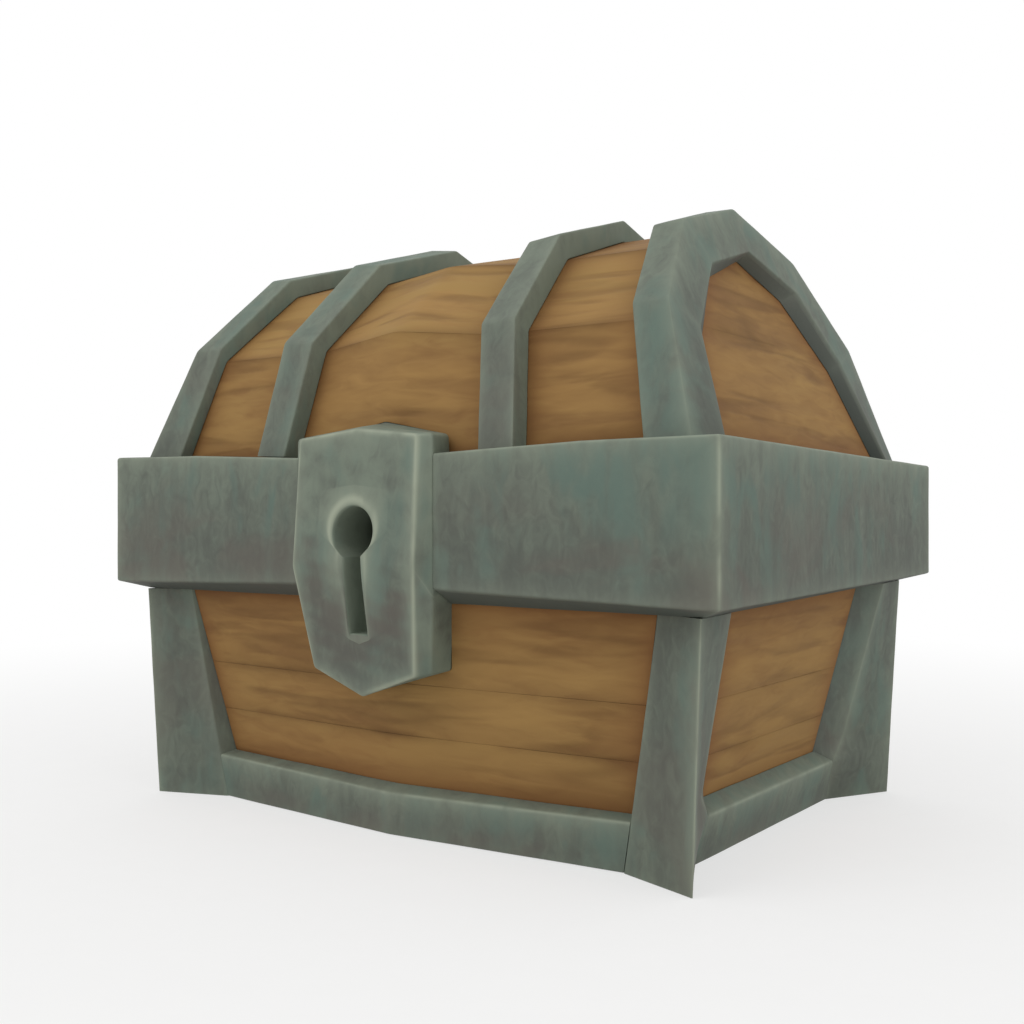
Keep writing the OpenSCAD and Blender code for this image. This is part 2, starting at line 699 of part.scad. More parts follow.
// Steel case with its top plate, the staple's slot and the ledges that guide the bolt
module case_with_plate() {
    color(steel_color)
        difference() {
            union() {
                box([-case_half, -case_front_y, case_low_z], [case_half, -case_back_y, plate_z]);
                box([-lock_half + fit, -lid_front_y + fit, plate_z - band_t],
                    [lock_half - fit, -half_d + rim_deep, plate_z]);
            }
            difference() {
                box([-case_half + case_t, -case_inner_y, case_sill_z],
                    [case_half - case_t, -case_back_y + overrun, plate_z - band_t]);
                for (x = [bolt_tip_x - bolt_len, bolt_tip_x - guide_len - fit])
                    for (z = [bolt_z - bolt_h / 2 - fit - guide_h, bolt_z + bolt_h / 2 + fit])
                        box([x, -case_inner_y, z], [x + guide_len, -case_back_y - case_t, z + guide_h]);
            }
            box([tongue_x - tongue_t / 2 - staple_play, -case_inner_y, plate_z - band_t - overrun],
                [tongue_x + tongue_t / 2 + staple_play, -tongue_back_y + staple_play, plate_z + overrun]);
            keyhole(case_front_y + overrun, case_inner_y - overrun);
            slot(case_front_y + overrun, case_inner_y - overrun, case_sill_z, window_w, window_w);
        }
}

module cap() {
    color(steel_color) {
        box([-case_half, -cap_front_y, case_low_z],
            [case_half, -cap_front_y + cap_t, plate_z - band_t - fit]);
        translate([0, -cap_front_y, keyhole_z])
            rotate([90, 0, 0])
                cylinder(r = key_pin_r, h = case_deep - cap_t);
    }
}

module detent_spring() {
    low = bolt_z + bolt_h / 2 + fit + guide_h + fit;
    color(steel_color)
        box([bolt_tip_x - bolt_len, -bolt_mid_y - bolt_t / 2, low],
            [bolt_tip_x - fit, -bolt_mid_y + bolt_t / 2, low + spring_t]);
}

// The bolt is drawn back at rest, clear of the staple's eye. A notch takes the key's bit.
module sliding_bolt() {
    color(steel_color)
        difference() {
            box([bolt_tip_x - bolt_len, -bolt_mid_y - bolt_t / 2, bolt_z - bolt_h / 2],
                [bolt_tip_x, -bolt_mid_y + bolt_t / 2, bolt_z + bolt_h / 2]);
            box([-notch_w - guide_len / 2, -half_d, bolt_z - bolt_h / 2 - overrun],
                [-guide_len / 2, 0, bolt_z - bolt_h / 2 + notch_h]);
        }
}

// Hinges, at the feet of the two middle straps

hinge_x = half_w * (strap_outer_shares[0].x + strap_inner_shares[0].x) / 2;
hinge_len = lid_knuckle + 2 * (side_knuckle + knuckle_gap);

module along_hinge(x, w, r) {
    translate([x - w / 2, hinge_y, hinge_z])
        rotate([0, 90, 0])
            cylinder(r = r, h = w);
}

module fixed_leaf(sx) {
    knuckle_x = (lid_knuckle + side_knuckle) / 2 + knuckle_gap;
    plate_top = hinge_z - knuckle_r - knuckle_gap;
    back = half_d + fit;
    color(iron_color)
        difference() {
            union() {
                box([sx * hinge_x - hinge_len / 2, back, hinge_z - leaf_drop],
                    [sx * hinge_x + hinge_len / 2, back + leaf_t, plate_top]);
                for (s = [-1, 1]) {
                    middle = sx * hinge_x + s * knuckle_x;
                    box([middle - side_knuckle / 2, back, plate_top - leaf_t],
                        [middle + side_knuckle / 2, back + leaf_t, hinge_z]);
                    along_hinge(middle, side_knuckle, knuckle_r);
                }
            }
            along_hinge(sx * hinge_x, hinge_len + overrun, pin_r + pin_play);
        }
}

module pin(sx) {
    head_x = hinge_len / 2 + pin_play + pin_head_t / 2;
    color(steel_color) {
        along_hinge(sx * hinge_x, hinge_len + pin_head_t, pin_r);
        for (s = [-1, 1])
            along_hinge(sx * hinge_x + s * head_x, pin_head_t, pin_head_r);
    }
}

// Lid

function row_of(i) = i <= ridge ? i : back_foot - i;
function side_of(i) = i <= ridge ? -1 : 1;
function on_rim(i, p) = row_of(i) == 0 ? [p.x, p.y, rim_z(p.x, p.y) + lid_gap] : p;
function lid_yz(rows, i) =
    [0, side_of(i) * rows[row_of(i)].y * half_d, rim_top_corner + rows[row_of(i)].z * lid_h];
function lid_point(rows, i, sx) = on_rim(i, lid_yz(rows, i) + [sx * rows[row_of(i)].x * half_w, 0, 0]);

// The end boards lean in towards the ridge
ridge_z = rim_top_corner + wood_shares[ridge].z * lid_h;
function end_x(z) = mix(end_foot_x, end_top_x, (z - rim_top_corner) / (ridge_z - rim_top_corner));

// Wood faces: outer line, inner line one stave thickness in, and the line that irons sit on
function facet(i) = unit(lid_yz(wood_shares, i + 1) - lid_yz(wood_shares, i));
function facet_normal(i) = [0, -facet(i).z, facet(i).y];
function inset(i) =
    i == 0 ? [0, 1 / facet(0).z, 0]
    : i == back_foot ? [0, -1 / facet(0).z, 0]
    : -(facet_normal(i - 1) + facet_normal(i)) / (1 + facet_normal(i - 1) * facet_normal(i));
function wood_outer(i) = lid_yz(wood_shares, i);
function wood_inner(i) = lid_yz(wood_shares, i) + stave_t * inset(i);
function wood_seat(i) = lid_yz(wood_shares, i) + [0, row_of(i) == ridge ? 0 : side_of(i) * fit, fit];

function with_x(p, x) = [x, p.y, p.z];
function end_point(i, p, sx) =
    let (z = on_rim(i, with_x(p, sx * end_foot_x)).z)
    [sx * (end_x(z) - end_t - fit), p.y, z];
function kink_x(i) = strap_inner_shares[row_of(i)].x * half_w - fit;

// A stave's section at one station: two outer points, then two inner points
function stave_points(k, place) = [
    place(k, wood_outer(k)) + facet(k) * (k == 0 ? 0 : seam / 2),
    place(k + 1, wood_outer(k + 1)) - facet(k) * (k + 1 == back_foot ? 0 : seam / 2),
    place(k + 1, wood_inner(k + 1)) - facet(k) * (k + 1 == back_foot ? 0 : seam / 2),
    place(k, wood_inner(k)) + facet(k) * (k == 0 ? 0 : seam / 2)
];
function stave_middle(k) =
    let (flat_ring = stave_points(k, function (i, p) on_rim(i, p)),
        bulge = function (i) lid_yz(wood_mid_shares, i) - lid_yz(wood_shares, i))
    [
        on_mid(k, flat_ring[0], bulge(k)),
        on_mid(k + 1, flat_ring[1], bulge(k + 1)),
        flat_ring[2],
        flat_ring[3]
    ];
function on_mid(i, p, bulge) = row_of(i) == 0 ? [p.x, p.y + bulge.y, p.z] : p + bulge;

module stave(k) {
    ends = [for (sx = [-1, 1]) stave_points(k, function (i, p) end_point(i, p, sx))];
    shoulders = [for (sx = [-1, 1]) stave_points(k, function (i, p) on_rim(i, with_x(p, sx * shoulder_x)))];
    kinks = [for (sx = [-1, 1]) stave_points(k, function (i, p) on_rim(i, with_x(p, sx * kink_x(i))))];
    color(wood_color)
        loft(
            k == 0 || k + 1 == back_foot
            ? [ends[0], shoulders[0], kinks[0], stave_middle(k), kinks[1], shoulders[1], ends[1]]
            : [ends[0], kinks[0], stave_middle(k), kinks[1], ends[1]]
        );
}

// End boards, split level at the first bend of the dome
function end_ring(sx, deep, points) = [for (p = points) [sx * (end_x(p.z) - deep), p.y, p.z]];
function end_foot(sy) =
    let (y = sy * wood_shares[0].y * half_d)
    [0, y, rim_z(end_foot_x, y) + lid_gap];

module end_board(sx, upper) {
    drop = [0, 0, seam / 2];
    lower_points = [end_foot(-1), wood_outer(1) - drop, wood_outer(back_foot - 1) - drop, end_foot(1)];
    upper_points = concat(
        [wood_outer(1) + drop],
        [for (i = [2:back_foot - 2]) wood_outer(i)],
        [wood_outer(back_foot - 1) + drop]
    );
    points = upper ? upper_points : lower_points;
    color(wood_color)
        loft([end_ring(sx, 0, points), end_ring(sx, end_t, points)]);
}

// End hoops wrap the corner between the staves and the end boards
function beside_end(i, p, sx) =
    let (z = on_rim(i, with_x(p, sx * end_foot_x)).z)
    on_rim(i, with_x(p, sx * (end_x(z) + fit)));
function hoop_ring(i, sx) =
    let (
        seat = wood_seat(i),
        rebate = lid_yz(hoop_rebate_shares, i),
        inner = lid_point(hoop_inner_shares, i, sx)
    )
    [
        inner,
        lid_point(hoop_ridge_shares, i, sx),
        lid_point(hoop_face_shares, i, sx),
        beside_end(i, rebate, sx),
        beside_end(i, seat, sx),
        on_rim(i, with_x(seat, inner.x))
    ];

function hoop_cells() = [[0, 1, 4, 5], [1, 2, 3, 4]];

module hoop(sx) {
    color(iron_color)
        loft([for (i = [0:back_foot]) hoop_ring(i, sx)], hoop_cells());
}

// Middle straps lie on the staves
function strap_ring(i, sx) =
    let (
        outer = lid_point(strap_outer_shares, i, sx),
        inner = lid_point(strap_inner_shares, i, sx)
    )
    [
        outer,
        inner,
        on_rim(i, with_x(wood_seat(i), inner.x)),
        on_rim(i, with_x(wood_seat(i), outer.x))
    ];

module strap(sx) {
    color(iron_color)
        loft([for (i = [0:back_foot]) strap_ring(i, sx)]);
}

// Lid leaf: from the knuckle over the rim, then up the strap
module lid_leaf(sx) {
    foot = lid_point(strap_outer_shares, back_foot, sx);
    bend = lid_point(strap_outer_shares, back_foot - 1, sx);
    low = hinge_z + knuckle_r - leaf_t;
    top = hinge_z + knuckle_r;
    high = top + leaf_rise;
    face = function (z) mix(foot.y, bend.y, (z - foot.z) / (bend.z - foot.z)) + fit;
    color(iron_color)
        difference() {
            union() {
                along_hinge(sx * hinge_x, lid_knuckle, knuckle_r);
                across(sx * hinge_x, lid_knuckle, [
                    [face(low), low], [hinge_y, low], [hinge_y, top],
                    [face(top) + leaf_t, top], [face(high) + leaf_t, high], [face(high), high]
                ]);
            }
            along_hinge(sx * hinge_x, lid_knuckle + overrun, pin_r + pin_play);
        }
}

// Staple: a plate on the front stave and a tongue that drops into the lock case
module staple_plate_and_tongue() {
    root_y = staple_face_y(staple_root_z);
    plate_low = staple_root_z + staple_t;
    plate_high = plate_low + staple_h;
    low_y = staple_face_y(plate_low);
    high_y = staple_face_y(plate_high);
    color(steel_color)
        difference() {
            union() {
                across(tongue_x, tongue_t, [
                    [-tongue_front_y, tongue_low_z], [-tongue_back_y, tongue_low_z],
                    [-tongue_back_y, staple_root_z], [root_y + staple_t, staple_root_z],
                    [high_y + staple_t, plate_high], [high_y, plate_high],
                    [root_y, staple_root_z], [-tongue_front_y, staple_root_z]
                ]);
                across(tongue_x, staple_w, [
                    [low_y, plate_low], [low_y + staple_t, plate_low],
                    [high_y + staple_t, plate_high], [high_y, plate_high]
                ]);
            }
            box([tongue_x - tongue_t, -bolt_mid_y - bolt_t / 2 - fit, bolt_z - eye_h / 2],
                [tongue_x + tongue_t, -bolt_mid_y + bolt_t / 2 + fit, bolt_z + eye_h / 2]);
        }
}

long_board(-1, 0);  // front_board_low
long_board(-1, 1);  // front_board_mid
long_board(-1, 2);  // front_board_top
long_board(1, 0);  // back_board_low
long_board(1, 1);  // back_board_mid
long_board(1, 2);  // back_board_top
short_board(-1, 0);  // left_board_low
short_board(-1, 1);  // left_board_mid
short_board(-1, 2);  // left_board_top
short_board(1, 0);  // right_board_low
short_board(1, 1);  // right_board_mid
short_board(1, 2);  // right_board_top
floor_board_side(-1);  // floor_front
floor_board_middle();  // floor_middle
floor_board_side(1);  // floor_back
battens();  // floor_battens
corner_iron(-1, -1);  // corner_front_left
corner_iron(1, -1);  // corner_front_right
corner_iron(-1, 1);  // corner_back_left
corner_iron(1, 1);  // corner_back_right
long_rail(-1);  // base_front
long_rail(1);  // base_back
short_rail(-1);  // base_left
short_rail(1);  // base_right
band([0, -1], -half_station_shares);  // band_front_left
band([0, -1], half_station_shares);  // band_front_right
band([0, 1], long_station_shares);  // band_back
band([-1, 0], short_station_shares);  // band_left
band([1, 0], short_station_shares);  // band_right
front_rim_rail();  // rim_front
timber_rail([0, 1], long_station_shares);  // rim_back
timber_rail([-1, 0], short_station_shares);  // rim_left
timber_rail([1, 0], short_station_shares);  // rim_right
block();  // lock_block
case_with_plate();  // lock_case
cap();  // lock_cap
detent_spring();  // bolt_spring
sliding_bolt();  // bolt
fixed_leaf(-1);  // leaf_left
fixed_leaf(1);  // leaf_right
pin(-1);  // hinge_pin_left
pin(1);  // hinge_pin_right
stave(0);  // stave_front_low
stave(1);  // stave_front_mid
stave(2);  // stave_front_top
stave(3);  // stave_back_top
stave(4);  // stave_back_mid
stave(5);  // stave_back_low
end_board(-1, false);  // end_left_low
end_board(-1, true);  // end_left_top
end_board(1, false);  // end_right_low
end_board(1, true);  // end_right_top
hoop(-1);  // hoop_left
strap(-1);  // strap_left
strap(1);  // strap_right
hoop(1);  // hoop_right
lid_leaf(-1);  // lid_leaf_left
lid_leaf(1);  // lid_leaf_right
staple_plate_and_tongue();  // staple
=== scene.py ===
"""Domed treasure chest: the finish of its boards and irons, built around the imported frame.

Shapes are worked out in millimetres, +Z up, front towards -Y, and scaled to metres in `mesh_object`.
"""

import math

import bpy
import numpy as np
from mathutils import Euler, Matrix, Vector


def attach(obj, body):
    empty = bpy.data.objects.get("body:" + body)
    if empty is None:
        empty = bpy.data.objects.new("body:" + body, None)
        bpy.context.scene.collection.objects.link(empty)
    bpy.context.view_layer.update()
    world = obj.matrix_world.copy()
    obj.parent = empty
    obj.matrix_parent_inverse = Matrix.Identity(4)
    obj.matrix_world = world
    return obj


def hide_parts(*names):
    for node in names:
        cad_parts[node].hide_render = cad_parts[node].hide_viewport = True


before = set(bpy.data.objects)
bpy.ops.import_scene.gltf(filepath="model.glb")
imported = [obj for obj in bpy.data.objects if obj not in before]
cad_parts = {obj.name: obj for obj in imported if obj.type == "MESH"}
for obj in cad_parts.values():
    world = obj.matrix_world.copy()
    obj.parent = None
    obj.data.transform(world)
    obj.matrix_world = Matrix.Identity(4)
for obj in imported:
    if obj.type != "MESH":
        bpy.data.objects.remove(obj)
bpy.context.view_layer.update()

METRE = 1000.0

# Sizes of the chest that the part's source sets, in millimetres
RIM_W, RIM_D = 330.0, 235.4
HALF_W, HALF_D = RIM_W / 2, RIM_D / 2
# The rim's top and the band's lower edge at the lock, the shoulders, the corners and the back
RIM_TOP, BAND_LOW = (162.9, 165.6, 166.1, 162.1), (108.1, 106.3, 104.9, 108.7)
RIM_TOP_LOCK, RIM_TOP_CORNER = RIM_TOP[0], RIM_TOP[2]
SHOULDER_X, RIM_DEEP, BAND_T, LIP_DEEP = 107.0, 31.0, 3.0, 12.0
SEAT_FRONT, SEAT_BACK = 100.8, 105.4
LID_GAP = 0.5
# Neighbours on one body are drawn closer together than the 0.3 that parts their solids
FIT, SEAM = 0.06, 0.01
LID_H, STAVE_T, END_T = 110.4, 8.5, 8.5
END_FOOT_X, END_TOP_X = 0.8909 * HALF_W, 0.6624 * HALF_W
WALL_T, WALL_CROWN, WALL_FOOT_Z = 9.5, 7.8, 3.0
SEAM_LOW_Z, SEAM_HIGH_Z = 0.4226 * SEAT_FRONT, 0.6498 * SEAT_FRONT
LOCK_W, LOCK_H, LOCK_LOW_Z, LOCK_REACH, LOCK_D = 76.2, 116.8, 61.2, 125.4, 25.8
KEYHOLE_Z, KEYHOLE_R = SEAT_FRONT + 0.4767 * (RIM_TOP_LOCK - SEAT_FRONT), 11.0
SLOT_TOP_W, SLOT_FOOT_W, SLOT_FOOT_Z, SLOT_DEEP = 8.7, 10.7, KEYHOLE_Z - 42.4, 17.0
LOCK_HALF = LOCK_W / 2 + FIT
LOCK_BACK = LOCK_REACH - LOCK_D

# Plan points [across, along the depth] on the ground and at the seat, as in the part's source
FRONT_WALL = np.array([[108.3, 82.4], [129.7, 98.1]])
SIDE_WALL = np.array([[122.4, 54.4], [144.7, 68.0]])
POST_EDGE = np.array([[148.3, 105.3], [152.9, 108.1]])
FRONT_RIDGE = np.array([[111.9, 92.4], [130.6, 99.0]])
SIDE_RIDGE = np.array([[129.4, 71.0], [152.7, 83.1]])
SIDE_TURN_Z = 29.0
FRONT_RAIL_Z, FRONT_RAIL_MID_Z, FRONT_SILL_Z, FRONT_SILL_MID_Z = 20.3, 17.8, 21.9, 20.9
FRONT_RAIL_MID_Y, FRONT_FOOT_MID_Y = 100.7, 101.6
SIDE_RAIL, SIDE_SILL_Z = np.array([135.0, 66.0, 20.0]), 25.4

# Lid outlines, front foot to ridge: shares of half the width, of half the depth and of the dome's height
STRAP_OUTER = np.array([
    [0.437, 0.938, 0], [0.397, 0.845, 0.4656], [0.365, 0.491, 0.846], [0.354, 0, 1]])
STRAP_INNER = np.array([
    [0.331, 0.936, 0], [0.291, 0.841, 0.4547], [0.262, 0.491, 0.8315], [0.252, 0, 0.981]])
HOOP_INNER = np.array([
    [0.78, 0.914, 0], [0.703, 0.791, 0.4828], [0.636, 0.4834, 0.8252], [0.61, 0, 0.981]])
HOOP_RIDGE = np.array([
    [0.908, 0.932, 0], [0.803, 0.802, 0.4819], [0.721, 0.4766, 0.837], [0.694, 0, 0.9764]])
HOOP_FACE = np.array([
    [0.931, 0.7553, 0], [0.822, 0.632, 0.405], [0.763, 0.3772, 0.683], [0.739, 0, 0.7953]])
HOOP_REBATE = np.array([
    [0, 0.701, 0], [0, 0.5607, 0.3632], [0, 0.3084, 0.6404], [0, 0, 0.7591]])
WOOD = np.array([
    [0, 0.85, 0], [0, 0.756, 0.425], [0, 0.4375, 0.751], [0, 0, 0.905]])
WOOD_MID = np.array([
    [0, 0.875, 0], [0, 0.82, 0.4656], [0, 0.4843, 0.781], [0, 0, 0.905]])

# Lock outlines, crest to tip: shares of half the width, of the depth from the back and of the height
LOCK_FRONT = np.array([
    [0, 0.849, 0.963], [0.853, 0.857, 0.936], [0.887, 1, 0.476], [0.74, 0.705, 0.088], [0, 0.717, 0]])
LOCK_MID = np.array([
    [0, 0.7, 0.975], [1, 0.7, 0.94], [1, 0.7, 0.371], [0.84, 0.44, 0.095], [0, 0.48, 0.007]])
LOCK_BACK_RING = np.array([
    [0, 0, 1], [0.892, 0, 0.943], [0.979, 0, 0.392], [0.879, 0, 0.102], [0, 0, 0.017]])

# How far the light painted along an edge reaches, and the distance that stands for "no edge near"
EDGE_REACH, NO_EDGE = 4.0, 60.0

# Samples: the most of an edge that a bend may take, steps across a bend, and the least length
BEND_SHARE, BEND_STEPS, TINY = 0.45, 4, 1e-9
# Millimetres between samples, and the wear's depth and wavelength
BOARD_STEP, IRON_STEP, LOCK_STEP = 4.0, 3.5, 1.7
BOARD_WEAR, IRON_WEAR, BAND_WEAR, LID_IRON_WEAR = (0.08, 60), (0.15, 45), (0.15, 50), (0.15, 40)
# The wear's waves: direction, waves to a wavelength, start
WAVES = [((0.9, 0.5, 0.35), 1, 0.7), ((-0.45, 0.8, 0.75), 1.37, 2.1), ((0.3, -0.6, 1.1), 1.83, 4.4)]


def mix(a, b, t):
    """a + (b - a) t."""
    return a + (b - a) * t


def srgb(red, green, blue):
    """Linear colour of an 8-bit screen colour."""
    c = np.array([red, green, blue]) / 255.0
    linear = np.where(c <= 0.04045, c / 12.92, ((c + 0.055) / 1.055) ** 2.4)
    return (*linear.tolist(), 1.0)


# Surfaces


def tent_rows(lengths, radii, closed, spacing):
    """Samples along a row of control points, as weights on those points.

    Along an edge a sample is the straight mix of its two ends. Within a bend's radius of a control
    point it is the quadratic curve that touches both edges. Returns the weights, and for each
    sample the edge that it lies on and its share of the way along that edge.
    """
    count = len(radii)
    edges = count if closed else count - 1
    rows, edge_of, share_of = [], [], []

    def add(edge, share, first, weights):
        row = np.zeros(count)
        for step, weight in enumerate(weights):
            row[(first + step) % count] += weight
        rows.append(row)
        edge_of.append(edge)
        share_of.append(share)

    start = [min(radii[e] / lengths[e], BEND_SHARE) for e in range(edges)]
    end = [min(radii[(e + 1) % count] / lengths[e], BEND_SHARE) for e in range(edges)]
    for e in range(edges):
        steps = max(1, math.ceil((1 - start[e] - end[e]) * lengths[e] / spacing))
        for t in np.linspace(start[e], 1 - end[e], steps + 1):
            add(e, t, e, (1 - t, t))
        if end[e] == 0 and closed:
            for kept in (rows, edge_of, share_of):
                kept.pop()
        if end[e] > 0 and (closed or e < edges - 1):
            after = start[(e + 1) % edges]
            for s in np.linspace(0, 1, BEND_STEPS + 1)[1:-1]:
                back, ahead = (1 - s) ** 2 * end[e], s ** 2 * after
                weights = (back, 1 - back - ahead, ahead)
                if s <= 0.5:
                    add(e, 1 - end[e] * (1 - 2 * s), e, weights)
                else:
                    add((e + 1) % edges, after * (2 * s - 1), e, weights)
    return np.array(rows), np.array(edge_of), np.array(share_of)


def reach_from(edge_of, share_of, lengths, lights):
    """Distance from each sample to the nearest lit control point, plus what a dim one adds.

    `lengths` holds each edge's length, with the samples' axis last. A point of light s counts as
    if it lay EDGE_REACH * ln(1 / s) further away.
    """
    count = len(lights)
    extra = np.array([EDGE_REACH * math.log(1 / s) if s > 0 else NO_EDGE for s in lights])
    before = share_of * lengths + extra[edge_of % count]
    after = (1 - share_of) * lengths + extra[(edge_of + 1) % count]
    return np.minimum(np.minimum(before, after), NO_EDGE)


class Skin:
    """A surface as a grid of points: rows run along a path, and each row is a closed ring."""

    def __init__(self, points, tone, edge, closed_path=False, places=None, normals=None):
        self.points, self.tone, self.edge = points, tone, edge
        self.closed_path, self.places = closed_path, places
        self.normals = grid_normals(points, closed_path) if normals is None else normals

    def dented(self, size, wavelength):
        """Wears the surface in by up to `size`, slowly and unevenly, and never out of its box."""
        low, high = self.points.min((0, 1)), self.points.max((0, 1))
        worn = size * (unevenness(self.points, wavelength) - 1) / 2
        self.points = np.clip(self.points + self.normals * worn[..., None], low, high)
        return self

    def rows(self, first, last):
        """The part of the surface from one row to another, both included."""
        picked = np.arange(first, last + 1) % len(self.points)
        parts = (part[picked] for part in (self.points, self.tone, self.edge))
        return Skin(*parts, normals=self.normals[picked])


def sweep(points, tones, ring_radii, ring_lights, row_radii, row_lights, spacing, closed_path=False):
    """Skin over control rings, with every bend rounded.

    points[k, i] is point i on ring k, and the tones are one number, one for each i, or a table.
    Between them the surface is the straight mix of its four nearest control points, and
    `tent_rows` rounds it along the rings and along the path. Lights are from 0 to 1: how much
    pale paint, worn and painted highlight, lies along each line of points. The tones carry the
    paint's shade, with painted light and shade among it.
    """
    points = np.asarray(points, float)
    tones = np.broadcast_to(np.asarray(tones, float), points.shape[:-1])
    around = np.linalg.norm(np.roll(points, -1, axis=1) - points, axis=2)
    along = np.linalg.norm(np.roll(points, -1, axis=0) - points, axis=2)
    if not closed_path:
        along = along[:-1]
    ring_w, ring_edge, ring_share = tent_rows(around.mean(0), ring_radii, True, spacing)
    path_w, path_edge, path_share = tent_rows(along.mean(1), row_radii, closed_path, spacing)
    sides = np.einsum("uk,kic->uic", path_w, points)
    side_lengths = np.linalg.norm(np.roll(sides, -1, axis=1) - sides, axis=2)[:, ring_edge]
    runs = np.einsum("kic,vi->kvc", points, ring_w)
    run_lengths = np.linalg.norm(np.roll(runs, -1, axis=0) - runs, axis=2)[path_edge].T
    ring_reach = reach_from(ring_edge, ring_share, side_lengths, ring_lights)
    row_reach = reach_from(path_edge, path_share, run_lengths, row_lights).T
    surface = np.einsum("uk,kvc->uvc", path_w, runs)
    tone = path_w @ tones @ ring_w.T
    return Skin(surface, tone, np.minimum(ring_reach, row_reach), closed_path, path_edge + path_share)


def grid_normals(points, closed_path):
    """Area-weighted normals: at each point the sum of the cross products of the cells round it."""
    ahead = np.roll(points, -1, axis=0)
    side = np.roll(points, -1, axis=1)
    both = np.roll(ahead, -1, axis=1)
    cells = np.cross(both - points, side - ahead)
    if not closed_path:
        cells[-1] = 0
    total = cells + np.roll(cells, 1, axis=0)
    total = total + np.roll(total, 1, axis=1)
    flux = (cells * (points + both)).sum()
    total = total if flux >= 0 else -total
    return total / np.maximum(np.linalg.norm(total, axis=2, keepdims=True), TINY)


def unevenness(points, wavelength):
    """Mean of three slanted sine waves, between -1 and 1."""
    turn = 2 * math.pi / wavelength
    waves = [np.sin(turn * rate * (points @ np.array(way)) + start) for way, rate, start in WAVES]
    return sum(waves) / len(waves)


def mesh_object(name, skin, marks):
    """Mesh of a skin that is closed round its rings, with a flat face over each open end."""
    rows, columns = skin.points.shape[:2]
    corner, normals = skin.points.reshape(-1, 3), skin.normals.reshape(-1, 3)
    index = np.arange(rows * columns).reshape(rows, columns)
    here = index if skin.closed_path else index[:-1]
    ahead = np.roll(index, -1, axis=0) if skin.closed_path else index[1:]
    quads = np.stack([here, ahead, np.roll(ahead, -1, axis=1), np.roll(here, -1, axis=1)], axis=-1)
    quads = quads.reshape(-1, 4)
    ends = [] if skin.closed_path else [index[0], index[-1][::-1]]
    first, second, third, fourth = (corner[quads[:, i]] for i in range(4))
    outward = np.cross(third - first, fourth - second) * normals[quads].sum(1)
    if outward.sum() < 0:
        quads = quads[:, ::-1]
        ends = [end[::-1] for end in ends]
    faces = quads.tolist() + [end.tolist() for end in ends]
    mesh = bpy.data.meshes.new(name)
    mesh.from_pydata((corner / METRE).tolist(), [], faces)
    loop_normals = [normals[quads].reshape(-1, 3)]
    for end in ends:
        ring = corner[end]
        normal = np.cross(ring, np.roll(ring, -1, axis=0)).sum(0)
        loop_normals.append(np.tile(normal / max(np.linalg.norm(normal), TINY), (len(end), 1)))
    mesh.polygons.foreach_set("use_smooth", np.ones(len(faces), bool))
    mesh.normals_split_custom_set(np.concatenate(loop_normals).tolist())
    for mark, numbers in marks.items():
        layer = mesh.attributes.new(mark, "FLOAT", "POINT")
        layer.data.foreach_set("value", numbers.astype(np.float32).ravel())
    obj = bpy.data.objects.new(name, mesh)
    bpy.context.scene.collection.objects.link(obj)
    return obj


def dress(name, skin, body, slot, material, **marks):
    """Puts a finished surface in place of its node: same place, same body, new skin."""
    obj = mesh_object(name, skin, {"tone": skin.tone, "edge": skin.edge, **marks})
    obj.data.materials.append(material)
    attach(obj, body)
    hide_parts(name)


# Plan and heights of the body, as in the part's source


def raised(line, z):
    """Point of a straight plan line at height z: on the ground at its foot, at the seat at its top."""
    return np.array([*mix(line[0], line[1], z / SEAT_FRONT), z])


def edge_z(heights, x, y):
    """Height of an edge: level at the lock, then straight to the shoulder, the corner and the back."""
    front = np.interp(abs(x), [LOCK_HALF, SHOULDER_X, HALF_W], heights[:3])
    return mix(front, heights[3], back_part(y))


def back_part(y):
    """Share of the way from the rim's front edge to its back edge."""
    return (y + HALF_D) / RIM_D


def rim_z(x, y):
    """Height of the rim's top."""
    return edge_z(RIM_TOP, x, y)


def low_z(x, y):
    """Height of the band's lower edge."""
    return edge_z(BAND_LOW, x, y)


def seat_z(y):
    """Height at which the band rests on the body: straight from front to back."""
    return mix(SEAT_FRONT, SEAT_BACK, back_part(y))


# Materials


class Socket:
    """One output socket of a material. Operators on it add Math nodes; `node` adds any other."""

    def __init__(self, tree, output=None):
        self.tree, self.output = tree, output

    def node(self, kind, settings=None, inputs=None, output=0):
        """Adds a node: its settings first, then its inputs by name or number, as numbers or sockets."""
        made = self.tree.nodes.new(kind)
        for key, value in (settings or {}).items():
            setattr(made, key, value)
        for key, value in (inputs or {}).items():
            if isinstance(value, Socket):
                self.tree.links.new(value.output, made.inputs[key])
            else:
                made.inputs[key].default_value = value
        return Socket(self.tree, made.outputs[output])

    def math(self, operation, *inputs):
        return self.node("ShaderNodeMath", {"operation": operation}, dict(enumerate(inputs)))

    def __add__(self, other):
        return self.math("ADD", self, other)

    def __mul__(self, other):
        return self.math("MULTIPLY", self, other)

    def __sub__(self, other):
        return self.math("SUBTRACT", self, other)

    def __rsub__(self, other):
        return self.math("SUBTRACT", other, self)

    __radd__, __rmul__ = __add__, __mul__

    def fall(self, reach):
        """e to the power of -self / reach: 1 at 0, fading with distance."""
        return self.math("EXPONENT", self * (-1 / reach))

    def blend(self, under, over):
        """The colour `under` where this is 0 and `over` where it is 1."""
        return self.node("ShaderNodeMix", {"data_type": "RGBA"}, {0: self, 6: under, 7: over}, 2)


def band(value, low, high):
    """0 at low and before, 1 at high and past it, s * s * (3 - 2s) between: a socket or a plain number."""
    if isinstance(value, Socket):
        inputs = {"Value": value, "From Min": low, "From Max": high}
        return value.node("ShaderNodeMapRange", {"interpolation_type": "SMOOTHSTEP"}, inputs)
    share = min(max((value - low) / (high - low), 0), 1)
    return share * share * (3 - 2 * share)


